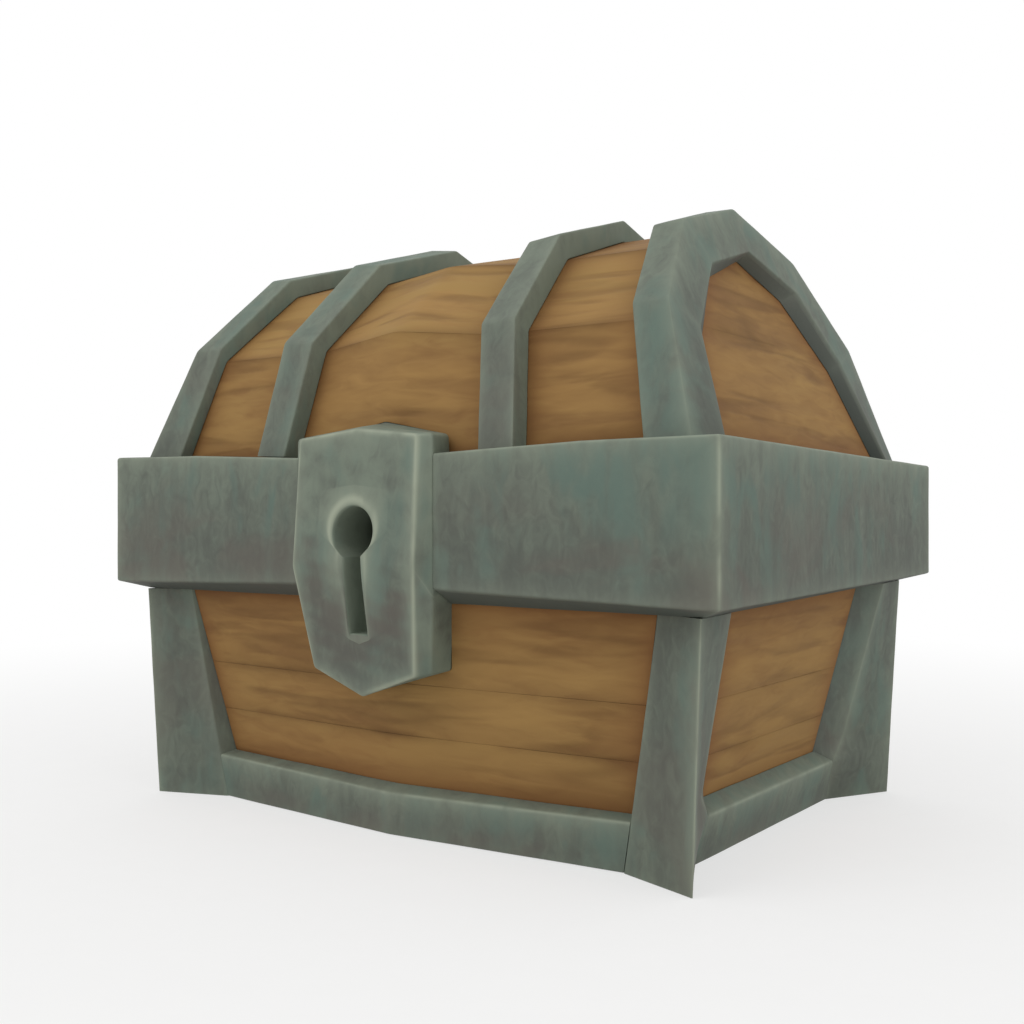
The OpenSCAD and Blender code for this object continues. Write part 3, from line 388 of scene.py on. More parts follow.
def noise(place, scale, stretch=(1, 1, 1), detail=4.0, rough=0.55, warp=0.0):
    """Noise from 0 to 1 with blots of about 1 / scale metres, drawn out along the axes by `stretch`."""
    narrowed = {0: place, 1: tuple(1 / s for s in stretch)}
    stretched = place.node("ShaderNodeVectorMath", {"operation": "MULTIPLY"}, narrowed)
    return place.node("ShaderNodeTexNoise", {}, {
        "Vector": stretched, "Scale": scale, "Detail": detail, "Roughness": rough, "Distortion": warp})


def new_material(name, **settings):
    """A material with its shader's own settings: returns it, the shader and the place on the object."""
    material = bpy.data.materials.new(name)
    material.use_nodes = True
    shader = material.node_tree.nodes["Principled BSDF"]
    for setting, value in settings.items():
        shader.inputs[setting].default_value = value
    return material, shader, Socket(material.node_tree).node("ShaderNodeTexCoord", output="Object")


def marks_on(place, names, plain):
    """The marks on a skin's points, or the plain numbers for a CAD node, which has no marks."""
    if plain:
        return plain
    return [place.node("ShaderNodeAttribute", {"attribute_name": name}, output="Fac") for name in names]


def finish_material(place, shader, colour, roughness, height, bump_distance=0.0006):
    """Links what varies: colour, roughness, and a bump of that height in metres."""
    bump = place.node("ShaderNodeBump", {}, {"Height": height, "Distance": bump_distance, "Strength": 1.0})
    for name, socket in (("Base Color", colour), ("Roughness", roughness), ("Normal", bump)):
        place.tree.links.new(socket.output, shader.inputs[name])


IRON_PAINTED_SHADE = srgb(58, 64, 58)
IRON_LOW = srgb(88, 92, 85)
IRON_HIGH = srgb(118, 128, 114)
IRON_TEAL = srgb(94, 114, 105)
IRON_RUST = srgb(100, 93, 86)
IRON_WORN_AND_HIGHLIGHT = srgb(142, 150, 133)
IRON_GLINT = srgb(184, 190, 168)


def iron_paint(name, plain=()):
    """Grey-green paint put on with a broad brush, patchy; pale along the edges from worn paint and painted
    highlight, with a painted glint, and painted shade where the tone is below zero.
    """
    material, shader, place = new_material(name, IOR=1.35)
    patches = noise(place, 24.0, (1, 1, 1.6), detail=3.0, warp=0.6)
    strokes = noise(place, 110.0, (1, 1, 6.0), detail=3.0)
    smudges = noise(place, 50.0, (1, 1, 1.8), detail=2.0, warp=0.8)
    dabs = noise(place, 170.0, (1, 1, 1.5), detail=3.0, warp=1.2)
    rust_patches = noise(place, 19.0, (1.8, 1.8, 1), detail=3.0, warp=1.0)
    grit = noise(place, 900.0, detail=2.0)
    tone, edge = marks_on(place, ("tone", "edge"), plain)
    shade = tone + (patches - 0.5) * 0.6 + (strokes - 0.5) * 0.7 + (dabs - 0.5) * 0.9
    colour = band(shade, -0.1, 1.1).blend(IRON_LOW, IRON_HIGH)
    teal = band(patches * 0.5 + smudges * 0.5, 0.48, 0.62) * (band(strokes, 0.35, 0.55) * 0.5 + 0.5)
    colour = (teal * band(tone, -0.2, 0.5) * 0.8).blend(colour, IRON_TEAL)
    rust = band(rust_patches, 0.48, 0.64) * band(tone, 0.7, 0.1)
    colour = (rust * 0.6).blend(colour, IRON_RUST)
    # Pale edges: worn paint and painted highlight along the ridges and corners
    worn_and_highlit = (edge * (1.5 - smudges)).fall(EDGE_REACH) * (band(strokes, 0.25, 0.65) * 0.35 + 0.65)
    colour = (worn_and_highlit * 0.8).blend(colour, IRON_WORN_AND_HIGHLIGHT)
    glint = band(edge * (1.3 - patches), 2.2, 0.0) * (band(smudges, 0.35, 0.6) * 0.35 + 0.05)
    colour = glint.blend(colour, IRON_GLINT)
    # Painted shade: below zero the tone darkens towards the shade colour, on the band's underside, in the
    # hoops' reveals and behind the lock
    if not plain:
        colour = band(tone, 0.0, -0.8).blend(colour, IRON_PAINTED_SHADE)
    roughness = 0.7 + (smudges - 0.5) * 0.2 - worn_and_highlit * 0.1
    height = strokes * 0.35 + smudges * 0.5 + grit * 0.08
    finish_material(place, shader, colour, roughness, height)
    return material


WOOD_BROWN = srgb(131, 97, 57)
WOOD_TAN = srgb(165, 129, 77)
WOOD_GOLD = srgb(163, 132, 78)
WOOD_PAINTED_SHADE = srgb(122, 80, 46)
WOOD_LINE = srgb(98, 70, 38)
# Millimetres over which the dark along a seam and the painted shade beside an iron fade
SEAM_REACH, SHADE_REACH = 3.33, 8.33


def part_of(grain, share):
    """A grain drawn out less: the straight mix of no stretch and the grain's."""
    return [mix(1, g, share) for g in grain]


def plank_wood(name, grain, plain=()):
    """Oiled boards with long soft streaks; `grain` is how far the axes draw the streaks out."""
    material, shader, place = new_material(name, IOR=1.3)
    drift = noise(place, 14.0, detail=1.0)
    streaks = noise(place, 120.0, grain, detail=2.0, rough=0.5, warp=0.5)
    lines = noise(place, 60.0, part_of(grain, 0.9), detail=1.0, rough=0.4, warp=0.4)
    dabs = noise(place, 190.0, part_of(grain, 0.4), detail=2.0, warp=0.9)
    patches = noise(place, 26.0, part_of(grain, 0.25), detail=2.0, warp=0.5)
    tone, seam, border = marks_on(place, ("tone", "edge", "border"), plain)
    shade = tone + (streaks - 0.5) * 1.25 + (patches - 0.5) * 0.5 + (dabs - 0.5) * 0.8
    colour = band(shade, -0.2, 1.1).blend(WOOD_BROWN, WOOD_TAN)
    golden = band(patches * 0.5 + drift * 0.3 + dabs * 0.2, 0.46, 0.58) * band(tone, 0.0, 0.9)
    colour = (golden * 0.7).blend(colour, WOOD_GOLD)
    drawn = band(lines.math("ABSOLUTE", lines - 0.5), 0.09, 0.0) * band(streaks, 0.6, 0.4)
    colour = (drawn * 0.36).blend(colour, WOOD_LINE)
    groove = (seam * (1.8 - streaks * 1.5)).fall(SEAM_REACH) * (band(patches, 0.6, 0.4) * 0.8 + 0.2)
    colour = (groove * 0.7).blend(colour, WOOD_LINE)
    # Painted shade: reddish dark in the wood beside the irons and under the rim
    painted_shade_by_iron = (border * (1.5 - patches)).fall(SHADE_REACH)
    colour = (painted_shade_by_iron * 0.7).blend(colour, WOOD_PAINTED_SHADE)
    roughness = 0.74 + (streaks - 0.5) * 0.2
    height = streaks * 0.5 + dabs * 0.2 - drawn * 0.3 - groove * 0.4
    finish_material(place, shader, colour, roughness, height)
    return material


STEEL_DULL = srgb(120, 122, 118)
STEEL_BRIGHT = srgb(168, 170, 166)


def plain_steel(name):
    """Filed steel with fine scratches along the bolt."""
    material, shader, place = new_material(name, Metallic=1.0)
    scratches = noise(place, 1500.0, (25, 1, 1), detail=2.0)
    blots = noise(place, 120.0, detail=3.0)
    colour = (blots * 0.7 + scratches * 0.3).blend(STEEL_DULL, STEEL_BRIGHT)
    finish_material(place, shader, colour, 0.32 + blots * 0.25, scratches, bump_distance=0.00004)
    return material


ALONG_X, ALONG_Y = (9, 1, 1), (1, 9, 1)
PLAIN_IRON, PLAIN_WOOD = (0.45, NO_EDGE), (0.4, NO_EDGE, NO_EDGE)
iron = iron_paint("grey_green_iron")
bare_iron = iron_paint("grey_green_iron_small", PLAIN_IRON)
wood_across = plank_wood("board_wood", ALONG_X)
wood_deep = plank_wood("end_board_wood", ALONG_Y)
inner_across = plank_wood("rim_wood_across", ALONG_X, PLAIN_WOOD)
inner_deep = plank_wood("rim_wood_deep", ALONG_Y, PLAIN_WOOD)
steel = plain_steel("filed_steel")


# Walls


BOARD_EDGES = [0.12] * 4
BOARD_LIGHTS = [1, 1, 0, 0]
WALL_BEND = 8
# Tones of the low, middle and top boards: darker upwards as painted shade under the band
WALL_TONES = [0.55, 0.4, 0.35]
CHEST_MIDDLE = np.array([0, 0, RIM_TOP_CORNER])


def board_section(k, top):
    """Height and depth of the corners of board k: two on its outer face, then two on its inner one."""
    low, high = [(WALL_FOOT_Z, SEAM_LOW_Z), (SEAM_LOW_Z + SEAM, SEAM_HIGH_Z), (SEAM_HIGH_Z + SEAM, top)][k]
    return (low, 0), (high, 0), (high, WALL_T), (low, WALL_T)


def wall_border(skin, plan, axis):
    """Distance to the irons round a wall: the posts at both ends, the rim above and the rail below."""
    z = skin.points[..., 2]
    ends = mix(plan[0, axis], plan[1, axis], z / SEAT_FRONT) - abs(skin.points[..., axis])
    band_low = low_z(0, -HALF_D) - LIP_DEEP / 2
    return np.minimum(np.minimum(ends, band_low - z), np.maximum(z - FRONT_SILL_Z, 0))


def finish_board(name, skin, body, material, border):
    """Wears a board. The irons' nearness, which darkens the wood as painted shade, counts where it faces
    out: inside, none lie on the boards.
    """
    skin.dented(*BOARD_WEAR)
    faces_out = (skin.normals * (skin.points - CHEST_MIDDLE)).sum(-1) > 0
    border = np.where(faces_out, np.maximum(border, 0), NO_EDGE)
    dress(name, skin, body, "wood", material, border=border)


def finish_iron(name, skin, body="chest", wear=IRON_WEAR):
    """Wears an iron and puts it in its node's place."""
    dress(name, skin.dented(*wear), body, "iron", iron)


def long_board(name, sy, k):
    """Front or back board: a four-cornered section carried from end to end, with a bend at the middle."""
    seats = [seat_z(sy * y) for y in (FRONT_WALL[1, 1], FRONT_WALL[1, 1] - WALL_T)]
    rings = []
    for share in (-1, 0, 1):
        ring = []
        for z, deep in board_section(k, min(seats)):
            edge_x, face_y, _ = raised(FRONT_WALL, z)
            crown = WALL_CROWN * (1 - abs(share)) * (deep == 0)
            ring.append([share * (edge_x - FIT), sy * (face_y + crown - deep), z])
        rings.append(ring)
    bends = [0, WALL_BEND, 0]
    skin = sweep(rings, WALL_TONES[k], BOARD_EDGES, BOARD_LIGHTS, bends, [0, 0, 0], BOARD_STEP)
    finish_board(name, skin, "chest", wood_across, wall_border(skin, FRONT_WALL, 0))


def short_board(name, sx, k):
    """Side board: a four-cornered section carried from front to back."""
    rings = []
    for sy in (-1, 1):
        ring = []
        for z, deep in board_section(k, seat_z(sy * SIDE_WALL[1, 1])):
            face_x, edge_y, _ = raised(SIDE_WALL, z)
            ring.append([sx * (face_x - deep), sy * (edge_y - FIT), z])
        rings.append(ring)
    skin = sweep(rings, WALL_TONES[k], BOARD_EDGES, BOARD_LIGHTS, [0, 0], [0, 0], BOARD_STEP)
    finish_board(name, skin, "chest", wood_deep, wall_border(skin, SIDE_WALL, 1))


for k, level in enumerate(("low", "mid", "top")):
    long_board(f"front_board_{level}", -1, k)
    long_board(f"back_board_{level}", 1, k)
    short_board(f"left_board_{level}", -1, k)
    short_board(f"right_board_{level}", 1, k)


# Corner irons and base rails


IRON_BEND = 1.5
# Corner irons: bends, pale edges (worn paint and painted highlight) and tones; the darker seat row is
# painted shade under the band, and the darker side face towards the boards is painted shade
CORNER_RADII = [0.8, 1.2, 0.8, 0.8, 0.8, 0.8, 0.8]
CORNER_LIGHTS = [0.5, 0.8, 0.6, 0, 0, 0, 0]
CORNER_TONES = np.array([[0.3], [0.4], [0.4], [0.3]]) + [0, 0, -0.1, -0.25, -0.25, 0, 0]
CORNER_LINES = (FRONT_RIDGE, POST_EDGE, SIDE_RIDGE, SIDE_WALL, FRONT_WALL)


def corner_ring(sx, sy, points):
    """Ridge, outer corner, ridge, then back along the ends of the boards."""
    front_ridge, corner, side_ridge, side_wood, front_wood = points
    inner = [side_wood - [WALL_T, 0, 0], front_wood - [0, WALL_T, 0]]
    return np.array([front_ridge, corner, side_ridge, side_wood, *inner, front_wood]) * [sx, sy, 1]


def level_points(z):
    """The corner iron's points at one height."""
    return [raised(line, z) for line in CORNER_LINES]


def seat_points(sy):
    """The corner iron's points where they meet the sloping seat of the rim."""
    return [raised(line, seat_z(sy * line[1, 1])) for line in CORNER_LINES]


def corner_iron(name, sx, sy):
    """Corner iron: its plan carried up through the foot, the rails' ridge, the turn and the seat."""
    at_rail = [
        raised(FRONT_RIDGE, FRONT_RAIL_Z), raised(POST_EDGE, FRONT_RAIL_Z), SIDE_RAIL,
        raised(SIDE_WALL, SIDE_SILL_Z), raised(FRONT_WALL, FRONT_SILL_Z)]
    levels = (level_points(0), at_rail, level_points(SIDE_TURN_Z), seat_points(sy))
    rings = [corner_ring(sx, sy, points) for points in levels]
    bends, lights = [0, IRON_BEND, IRON_BEND, 0], [0.4, 0, 0, 0]
    skin = sweep(rings, CORNER_TONES, CORNER_RADII, CORNER_LIGHTS, bends, lights, IRON_STEP)
    finish_iron(name, skin)


# Base rails: bends, pale edges (worn paint and painted highlight) and tones, the paler ridge a painted
# highlight
RAIL_RADII = [1.6, 0.8, 0.5, 0.8]
RAIL_LIGHTS = [0.75, 0, 0, 0.35]
RAIL_TONES = [0.7, 0.5, 0.2, 0.2]


def long_rail(name, sy):
    """Front or back base rail: a four-cornered section with a bend at the middle."""
    rings = []
    for share in (-1, 0, 1):
        ridge, foot = raised(FRONT_RIDGE, FRONT_RAIL_Z), raised(FRONT_RIDGE, 0)
        crown, sill_z = 0, FRONT_SILL_Z
        if share == 0:
            ridge, foot = [0, FRONT_RAIL_MID_Y, FRONT_RAIL_MID_Z], [0, FRONT_FOOT_MID_Y, 0]
            crown, sill_z = WALL_CROWN, FRONT_SILL_MID_Z
        ring = np.array([ridge, raised(FRONT_WALL, sill_z), raised(FRONT_WALL, 0), foot])
        ring[:, 0] -= FIT
        ring[1:3, 1] += crown + FIT
        rings.append(ring * [share, sy, 1])
    bends, lights = [0, IRON_BEND, 0], [0, 0.3, 0]
    skin = sweep(rings, RAIL_TONES, RAIL_RADII, RAIL_LIGHTS, bends, lights, IRON_STEP)
    finish_iron(name, skin)


def short_rail(name, sx):
    """Side base rail: a four-cornered section carried straight from front to back."""
    sill = raised(SIDE_WALL, SIDE_SILL_Z)
    ring = np.array([SIDE_RAIL, sill, raised(SIDE_WALL, 0), raised(SIDE_RIDGE, 0)])
    ring[1:3, 0] += FIT
    ring[:, 1] -= FIT
    rings = [ring * [sx, sy, 1] for sy in (-1, 1)]
    skin = sweep(rings, RAIL_TONES, RAIL_RADII, RAIL_LIGHTS, [0, 0], [0, 0], IRON_STEP)
    finish_iron(name, skin)


for side_name, sx in (("left", -1), ("right", 1)):
    corner_iron(f"corner_front_{side_name}", sx, -1)
    corner_iron(f"corner_back_{side_name}", sx, 1)
    short_rail(f"base_{side_name}", sx)
long_rail("base_front", -1)
long_rail("base_back", 1)


# Rim band: one section carried right round the chest, then cut into its bars


# The section's bends, pale edges (worn paint and painted highlight) and tones; the dark tones on the
# underside and lip are painted shadow under the band
BAND_RADII = [1.0, 0.5, 0.8, 0.8, 0.8, 0.8, 0.8, 0.8, 1.5]
BAND_LIGHTS = [0.4, 0, 0, 0, 0, 0, 0.3, 0.4, 0.7]
BAND_TONES = [0.15, -0.3, -0.5, -0.5, 0, 0.3, 0.3, 0.5, 0.62]
# The bends and the pale paint, worn and painted highlight, at the mitres, where the bars end at the lock,
# and at the shoulders
MITRE_ROUND, LOCK_END_ROUND, SHOULDER_ROUND = 1.6, 0.01, 1.0
MITRE_LIGHT, LOCK_END_LIGHT = 0.85, 0.35
UNDER_START = 2.0
BARS = {
    "band_front_left": (0, 2), "band_front_right": (3, 5), "band_right": (5, 6), "band_back": (6, 11),
    "band_left": (11, 12)}


def rim_point(sy, share, deep):
    """Plan point of the rim: `share` along its front or back, `deep` in from the face, mitred at 1."""
    half = HALF_W - deep if abs(share) == 1 else HALF_W
    return np.array([share * half, sy * (HALF_D - deep)])


def under_band(sy, share, deep):
    """Height of the band's underside, from its lower edge to the seat that it rests on."""
    outer, lip = rim_point(sy, share, 0), rim_point(sy, share, LIP_DEEP)
    return mix(low_z(*outer), seat_z(lip[1]) + FIT, deep / LIP_DEEP)


def band_ring(sy, share):
    """Section of the band: its lip, its plate and the flange over the timber."""
    depths = (0, UNDER_START, BAND_T, LIP_DEEP, RIM_DEEP)
    outer, under, plate, lip, inner = (rim_point(sy, share, deep) for deep in depths)
    outer_z, under_z, plate_z, lip_z, _ = (under_band(sy, share, deep) for deep in depths)
    return [
        [*outer, outer_z], [*under, under_z], [*lip, lip_z], [*lip, lip_z + BAND_T],
        [*plate, plate_z + BAND_T], [*plate, rim_z(*plate) - BAND_T],
        [*inner, rim_z(*inner) - BAND_T], [*inner, rim_z(*inner)], [*outer, rim_z(*outer)]]


def rim_band():
    """All five bars of the band, cut at the mitres and beside the lock."""
    lock, shoulder = LOCK_HALF / HALF_W, SHOULDER_X / HALF_W
    shares = (-1, -shoulder, -lock, lock, shoulder, 1)
    rings = [band_ring(-1, share) for share in shares] + [band_ring(1, -share) for share in shares]
    mitres, lock_ends = [0, 5, 6, 11], [2, 3]
    count = len(rings)
    radii, lights = np.full(count, SHOULDER_ROUND), np.zeros(count)
    radii[mitres], lights[mitres] = MITRE_ROUND, MITRE_LIGHT
    radii[lock_ends], lights[lock_ends] = LOCK_END_ROUND, LOCK_END_LIGHT
    skin = sweep(rings, BAND_TONES, BAND_RADII, BAND_LIGHTS, radii, lights, IRON_STEP, closed_path=True)
    skin.dented(*BAND_WEAR)

    def cut(station):
        """Row at a station: the one whose place along the path is nearest to it."""
        return int(np.argmin(abs((skin.places - station + count / 2) % count - count / 2)))

    for name, (first, last) in BARS.items():
        start, end = cut(first), cut(last % count)
        end = end if end > start else end + len(skin.points)
        dress(name, skin.rows(start, end), "chest", "iron", iron)


rim_band()


# Lid


RIDGE = len(WOOD) - 1
BACK_FOOT = 2 * RIDGE
LID_SHARES = np.array([HALF_W, HALF_D, LID_H])
RIDGE_Z = RIM_TOP_CORNER + WOOD[RIDGE, 2] * LID_H


def row_of(i):
    """Row of an outline's table: the back's points repeat the front's."""
    return i if i <= RIDGE else BACK_FOOT - i


def at_x(i, p, x):
    """Point p of line i moved to x across. The feet follow the rim, with the lid's gap under them."""
    return np.array([x, p[1], rim_z(x, p[1]) + LID_GAP if row_of(i) == 0 else p[2]])


def lid_place(rows, i, sx=0):
    """Point i of an outline, counted from the front foot over the ridge to the back foot."""
    x, y, z = rows[row_of(i)] * LID_SHARES
    return np.array([sx * x, -y if i <= RIDGE else y, RIM_TOP_CORNER + z])


def lid_point(rows, i, sx):
    """Point i of an outline, with its feet on the rim."""
    p = lid_place(rows, i, sx)
    return at_x(i, p, p[0])


def end_x(z):
    """Face of the end boards at a height: they lean in towards the ridge."""
    return mix(END_FOOT_X, END_TOP_X, (z - RIM_TOP_CORNER) / (RIDGE_Z - RIM_TOP_CORNER))


def facet(i):
    """Unit vector up or down the dome's facet from point i to the next."""
    run = lid_place(WOOD, i + 1) - lid_place(WOOD, i)
    return run / np.linalg.norm(run)


def facet_normal(i):
    """The facet's unit vector turned a quarter to point out."""
    _, y, z = facet(i)
    return np.array([0, -z, y])


def inset(i):
    """Step from the outer to the inner line at a bend, for a board one unit thick."""
    if i in (0, BACK_FOOT):
        return np.array([0, (1 if i == 0 else -1) / facet(0)[2], 0])
    before, after = facet_normal(i - 1), facet_normal(i)
    return -(before + after) / (1 + before @ after)


def wood_inner(i):
    """Inner line of the staves at bend i."""
    return lid_place(WOOD, i) + STAVE_T * inset(i)


def wood_seat(i):
    """Line on the staves that the irons lie on."""
    out = 0 if row_of(i) == RIDGE else (-FIT if i <= RIDGE else FIT)
    return lid_place(WOOD, i) + np.array([0, out, FIT])


def stave_section(k, place):
    """Two outer points and two inner points, drawn in by half a seam at each bend."""
    low = facet(k) * (0 if k == 0 else SEAM / 2)
    high = facet(k) * (0 if k + 1 == BACK_FOOT else SEAM / 2)
    return [
        place(k, lid_place(WOOD, k)) + low, place(k + 1, lid_place(WOOD, k + 1)) - high,
        place(k + 1, wood_inner(k + 1)) - high, place(k, wood_inner(k)) + low]


STAVE_KINK, STAVE_CROWN = 1.0, 4.0
# Tones of each stave at its lower and upper edge: painted light and shade across the facets, brightest on
# the front's middle facet
STAVE_TONES = {
    "stave_front_low": (0.4, 0.65), "stave_front_mid": (0.9, 1.1), "stave_front_top": (0.45, 0.25),
    "stave_back_top": (0.6, 0.7), "stave_back_mid": (0.8, 0.75), "stave_back_low": (0.6, 0.35)}
# How far under the rim's top the painted shade beside it starts, and how much faster it fades there
UNDER_RIM, RIM_FADE = 2.0, 1.5


def stave(name, k, low_tone, high_tone):
    """Stave: its section carried across the lid, with a crown between the middle straps."""

    def end_place(i, p, sx):
        z = at_x(i, p, sx * END_FOOT_X)[2]
        return np.array([sx * (end_x(z) - END_T - FIT), p[1], z])

    def shoulder_place(i, p, sx):
        return at_x(i, p, sx * SHOULDER_X)

    def kink_place(i, p, sx):
        return at_x(i, p, sx * (STRAP_INNER[row_of(i), 0] * HALF_W - FIT))

    places = [end_place, kink_place]
    if k == 0 or k + 1 == BACK_FOOT:
        places.insert(1, shoulder_place)
    left, right = (
        [stave_section(k, lambda i, p: place(i, p, sx)) for place in places] for sx in (-1, 1))
    middle = stave_section(k, lambda i, p: at_x(i, p, 0))
    for corner, i in ((0, k), (1, k + 1)):
        middle[corner] = middle[corner] + lid_place(WOOD_MID, i) - lid_place(WOOD, i)
    half = [0] + [STAVE_KINK] * (len(places) - 1)
    radii = half + [STAVE_CROWN] + half[::-1]
    rings, tones = left + [middle] + right[::-1], [low_tone, high_tone, high_tone, low_tone]
    skin = sweep(rings, tones, BOARD_EDGES, BOARD_LIGHTS, radii, [0] * len(radii), BOARD_STEP)
    finish_board(name, skin, "lid", wood_across, stave_border(skin))


def stave_border(skin):
    """Distance across to the nearest iron on the dome, or up to the rim's."""
    x, up = skin.points[..., 0], skin.points[..., 2] - RIM_TOP_CORNER
    gaps = [
        abs(abs(x) - np.interp(up / LID_H, rows[:, 2], rows[:, 0]) * HALF_W)
        for rows in (STRAP_OUTER, STRAP_INNER, HOOP_INNER)]
    return np.minimum.reduce(gaps + [np.maximum(up + UNDER_RIM, 0) * RIM_FADE])


for k, (stave_name, tones) in enumerate(STAVE_TONES.items()):
    stave(stave_name, k, *tones)


END_EDGES = [0.6] * 4
END_TONE = 0.4
TIP_HALF = 0.5


def end_board(name, sx, upper):
    """End board of the lid: a level section carried up from the rim, or from the split to the ridge."""
    bends = [1, 2, RIDGE] if upper else [0, 1]
    rings = []
    for i in bends:
        y, z = lid_place(WOOD, i)[1:]
        if i == 1:
            z += SEAM / 2 if upper else -SEAM / 2
        low, high = (rim_z(END_FOOT_X, end_y) + LID_GAP if i == 0 else z for end_y in (y, -y))
        y = min(y, -TIP_HALF)
        corners = ((y, low, 0), (-y, high, 0), (-y, high, END_T), (y, low, END_T))
        rings.append([[sx * (end_x(up) - deep), along, up] for along, up, deep in corners])
    radii = [0] + [STAVE_KINK] * (len(bends) - 2) + [0]
    seam_light = [1, 0, 0] if upper else [0, 1]
    skin = sweep(rings, END_TONE, END_EDGES, [0] * 4, radii, seam_light, BOARD_STEP)
    y, up = skin.points[..., 1], skin.points[..., 2] - RIM_TOP_CORNER
    to_hoop = np.interp(up / LID_H, HOOP_REBATE[:, 2], HOOP_REBATE[:, 1]) * HALF_D - abs(y)
    finish_board(name, skin, "lid", wood_deep, np.minimum(to_hoop, np.maximum(up, 0) * RIM_FADE))


HOOP_RADII = [1.1, 1.4, 0.8, 0.3, 0.8, 0.8, 0.8]
HOOP_LIGHTS = [0.4, 0.55, 0.3, 0, 0, 0, 0]
HOOP_SHADES = np.array([0.05, 0, -0.3, -0.8, -1.0, 0, 0.1])
REVEAL_START = 0.25
STRAP_RADII = [1.1, 1.1, 0.8, 0.8]
STRAP_LIGHTS = [0.6, 0.5, 0, 0]
STRAP_SHADES = np.array([0, 0, 0.6, 0.6])
BEND_RADII = [0] + [1.2] * (BACK_FOOT - 1) + [0]
BEND_LIGHTS = [0.2] + [0.25] * (BACK_FOOT - 1) + [0.2]
# Tones of the lid irons from foot to ridge, darker at the feet and paler over the top; partly painted
# light and shade that evens out how the light falls on the facets
ARCH_TONES = [0.25, 0.5, 0.75, 0.7]


def arch(name, rings, radii, lights, shades):
    """Iron bent over the lid: a section carried over the dome, its tones from foot to ridge and back."""
    tones = np.array([[ARCH_TONES[row_of(i)]] for i in range(BACK_FOOT + 1)]) + shades
    skin = sweep(rings, tones, radii, lights, BEND_RADII, BEND_LIGHTS, IRON_STEP)
    finish_iron(name, skin, "lid", LID_IRON_WEAR)


def beside_end(i, p, sx):
    """Point just outside the end boards' faces, which lean."""
    z = at_x(i, p, sx * END_FOOT_X)[2]
    return at_x(i, p, sx * (end_x(z) + FIT))


def hoop(name, sx):
    """End hoop: a bent section that wraps the corner between the staves and the end boards."""
    rings = []
    for i in range(BACK_FOOT + 1):
        seat, rebate, inner = wood_seat(i), lid_place(HOOP_REBATE, i), lid_point(HOOP_INNER, i, sx)
        face, reveal_end = lid_point(HOOP_FACE, i, sx), beside_end(i, rebate, sx)
        rings.append([
            inner, lid_point(HOOP_RIDGE, i, sx), face, mix(face, reveal_end, REVEAL_START), reveal_end,
            beside_end(i, seat, sx), at_x(i, seat, inner[0])])
    arch(name, rings, HOOP_RADII, HOOP_LIGHTS, HOOP_SHADES)


def strap(name, sx):
    """Middle strap: a flat bar carried over the staves."""
    rings = []
    for i in range(BACK_FOOT + 1):
        outer, inner = lid_point(STRAP_OUTER, i, sx), lid_point(STRAP_INNER, i, sx)
        rings.append([outer, inner, *(at_x(i, wood_seat(i), p[0]) for p in (inner, outer))])
    arch(name, rings, STRAP_RADII, STRAP_LIGHTS, STRAP_SHADES)


for side_name, sx in (("left", -1), ("right", 1)):
    end_board(f"end_{side_name}_low", sx, False)
    end_board(f"end_{side_name}_top", sx, True)
    hoop(f"hoop_{side_name}", sx)
    strap(f"strap_{side_name}", sx)


# Lock


def lock_ring(rows, tones):
    """One outline of the block: crest, down the right side, tip, up the left side."""
    x, y = rows[:, 0] * LOCK_W / 2, -LOCK_BACK - rows[:, 1] * LOCK_D
    right = np.stack([x, y, LOCK_LOW_Z + rows[:, 2] * LOCK_H, np.asarray(tones, float)], axis=1)
    left = right[-2:0:-1] * np.array([-1, 1, 1, 1])
    return np.concatenate([right, left])


WIDEST_Z = LOCK_LOW_Z + LOCK_FRONT[2, 2] * LOCK_H
SLOT_FLOOR_Y = -(LOCK_REACH - SLOT_DEEP)
RIM_CUT_Y = -(LOCK_BACK + FIT)
LID_CUT_Y = -(WOOD_MID[0, 1] * HALF_D + FIT)
SHELF_Z = RIM_TOP_LOCK - 2 * FIT - BAND_T
# Tones of the outlines, crest to tip, and their bends and pale paint (worn and painted highlight), all the
# way round;
# the middle outline's pale chamfer is painted highlight, and the pale low sides are painted light against
# their shade
FRONT_TONES = [0.8, 0.8, 0.45, 0.2, 0.15]
MIDDLE_TONES = [0.9, 1.0, 0.6, 0.9, 0.5]
BACK_TONES = [0.5, 0.6, 0.4, 1.0, 0.5]
LOCK_RADII = [1.0, 1.8, 1.2, 1.2, 1.0, 1.2, 1.2, 1.8]
LOCK_LIGHTS = [0, 0.7, 0.6, 0.35, 0, 0.35, 0.6, 0.6]
FACE_SHARE, FACE_BEND_ROUND, KEYHOLE_ROUND = 0.6, 5.0, 2.0
# Rows over the keyhole's rounded edge, the face and the back, and how late the face bends to the brink
EDGE_ROWS, FACE_ROWS, BACK_ROWS, FACE_EASE = 6, 12, 26, 4
# The painted highlight round the keyhole: how far out, how fast it fades, how dim and how faint at the
# foot
HALO_OUT, HALO_FADE, HALO_DIM, HALO_LEAST = 3.0, 0.7, 3.0, 0.2
# How much the painted highlight lifts the tone near the keyhole, and over what distance
HALO_TONE, HALO_REACH = 0.5, 5
# Inside the keyhole a pale tone and pale paint, painted light against the hole's shade; behind the block a
# dark tone, painted shade; and how far the painted highlight at the face's brink is dimmed
KEYHOLE_TONE, KEYHOLE_EDGE, BEHIND_TONE, BRINK_DIM = 1.0, 4.0, -0.2, 0.5
LOCK_MOTTLE, LOCK_BLOT = 0.25, 18.0


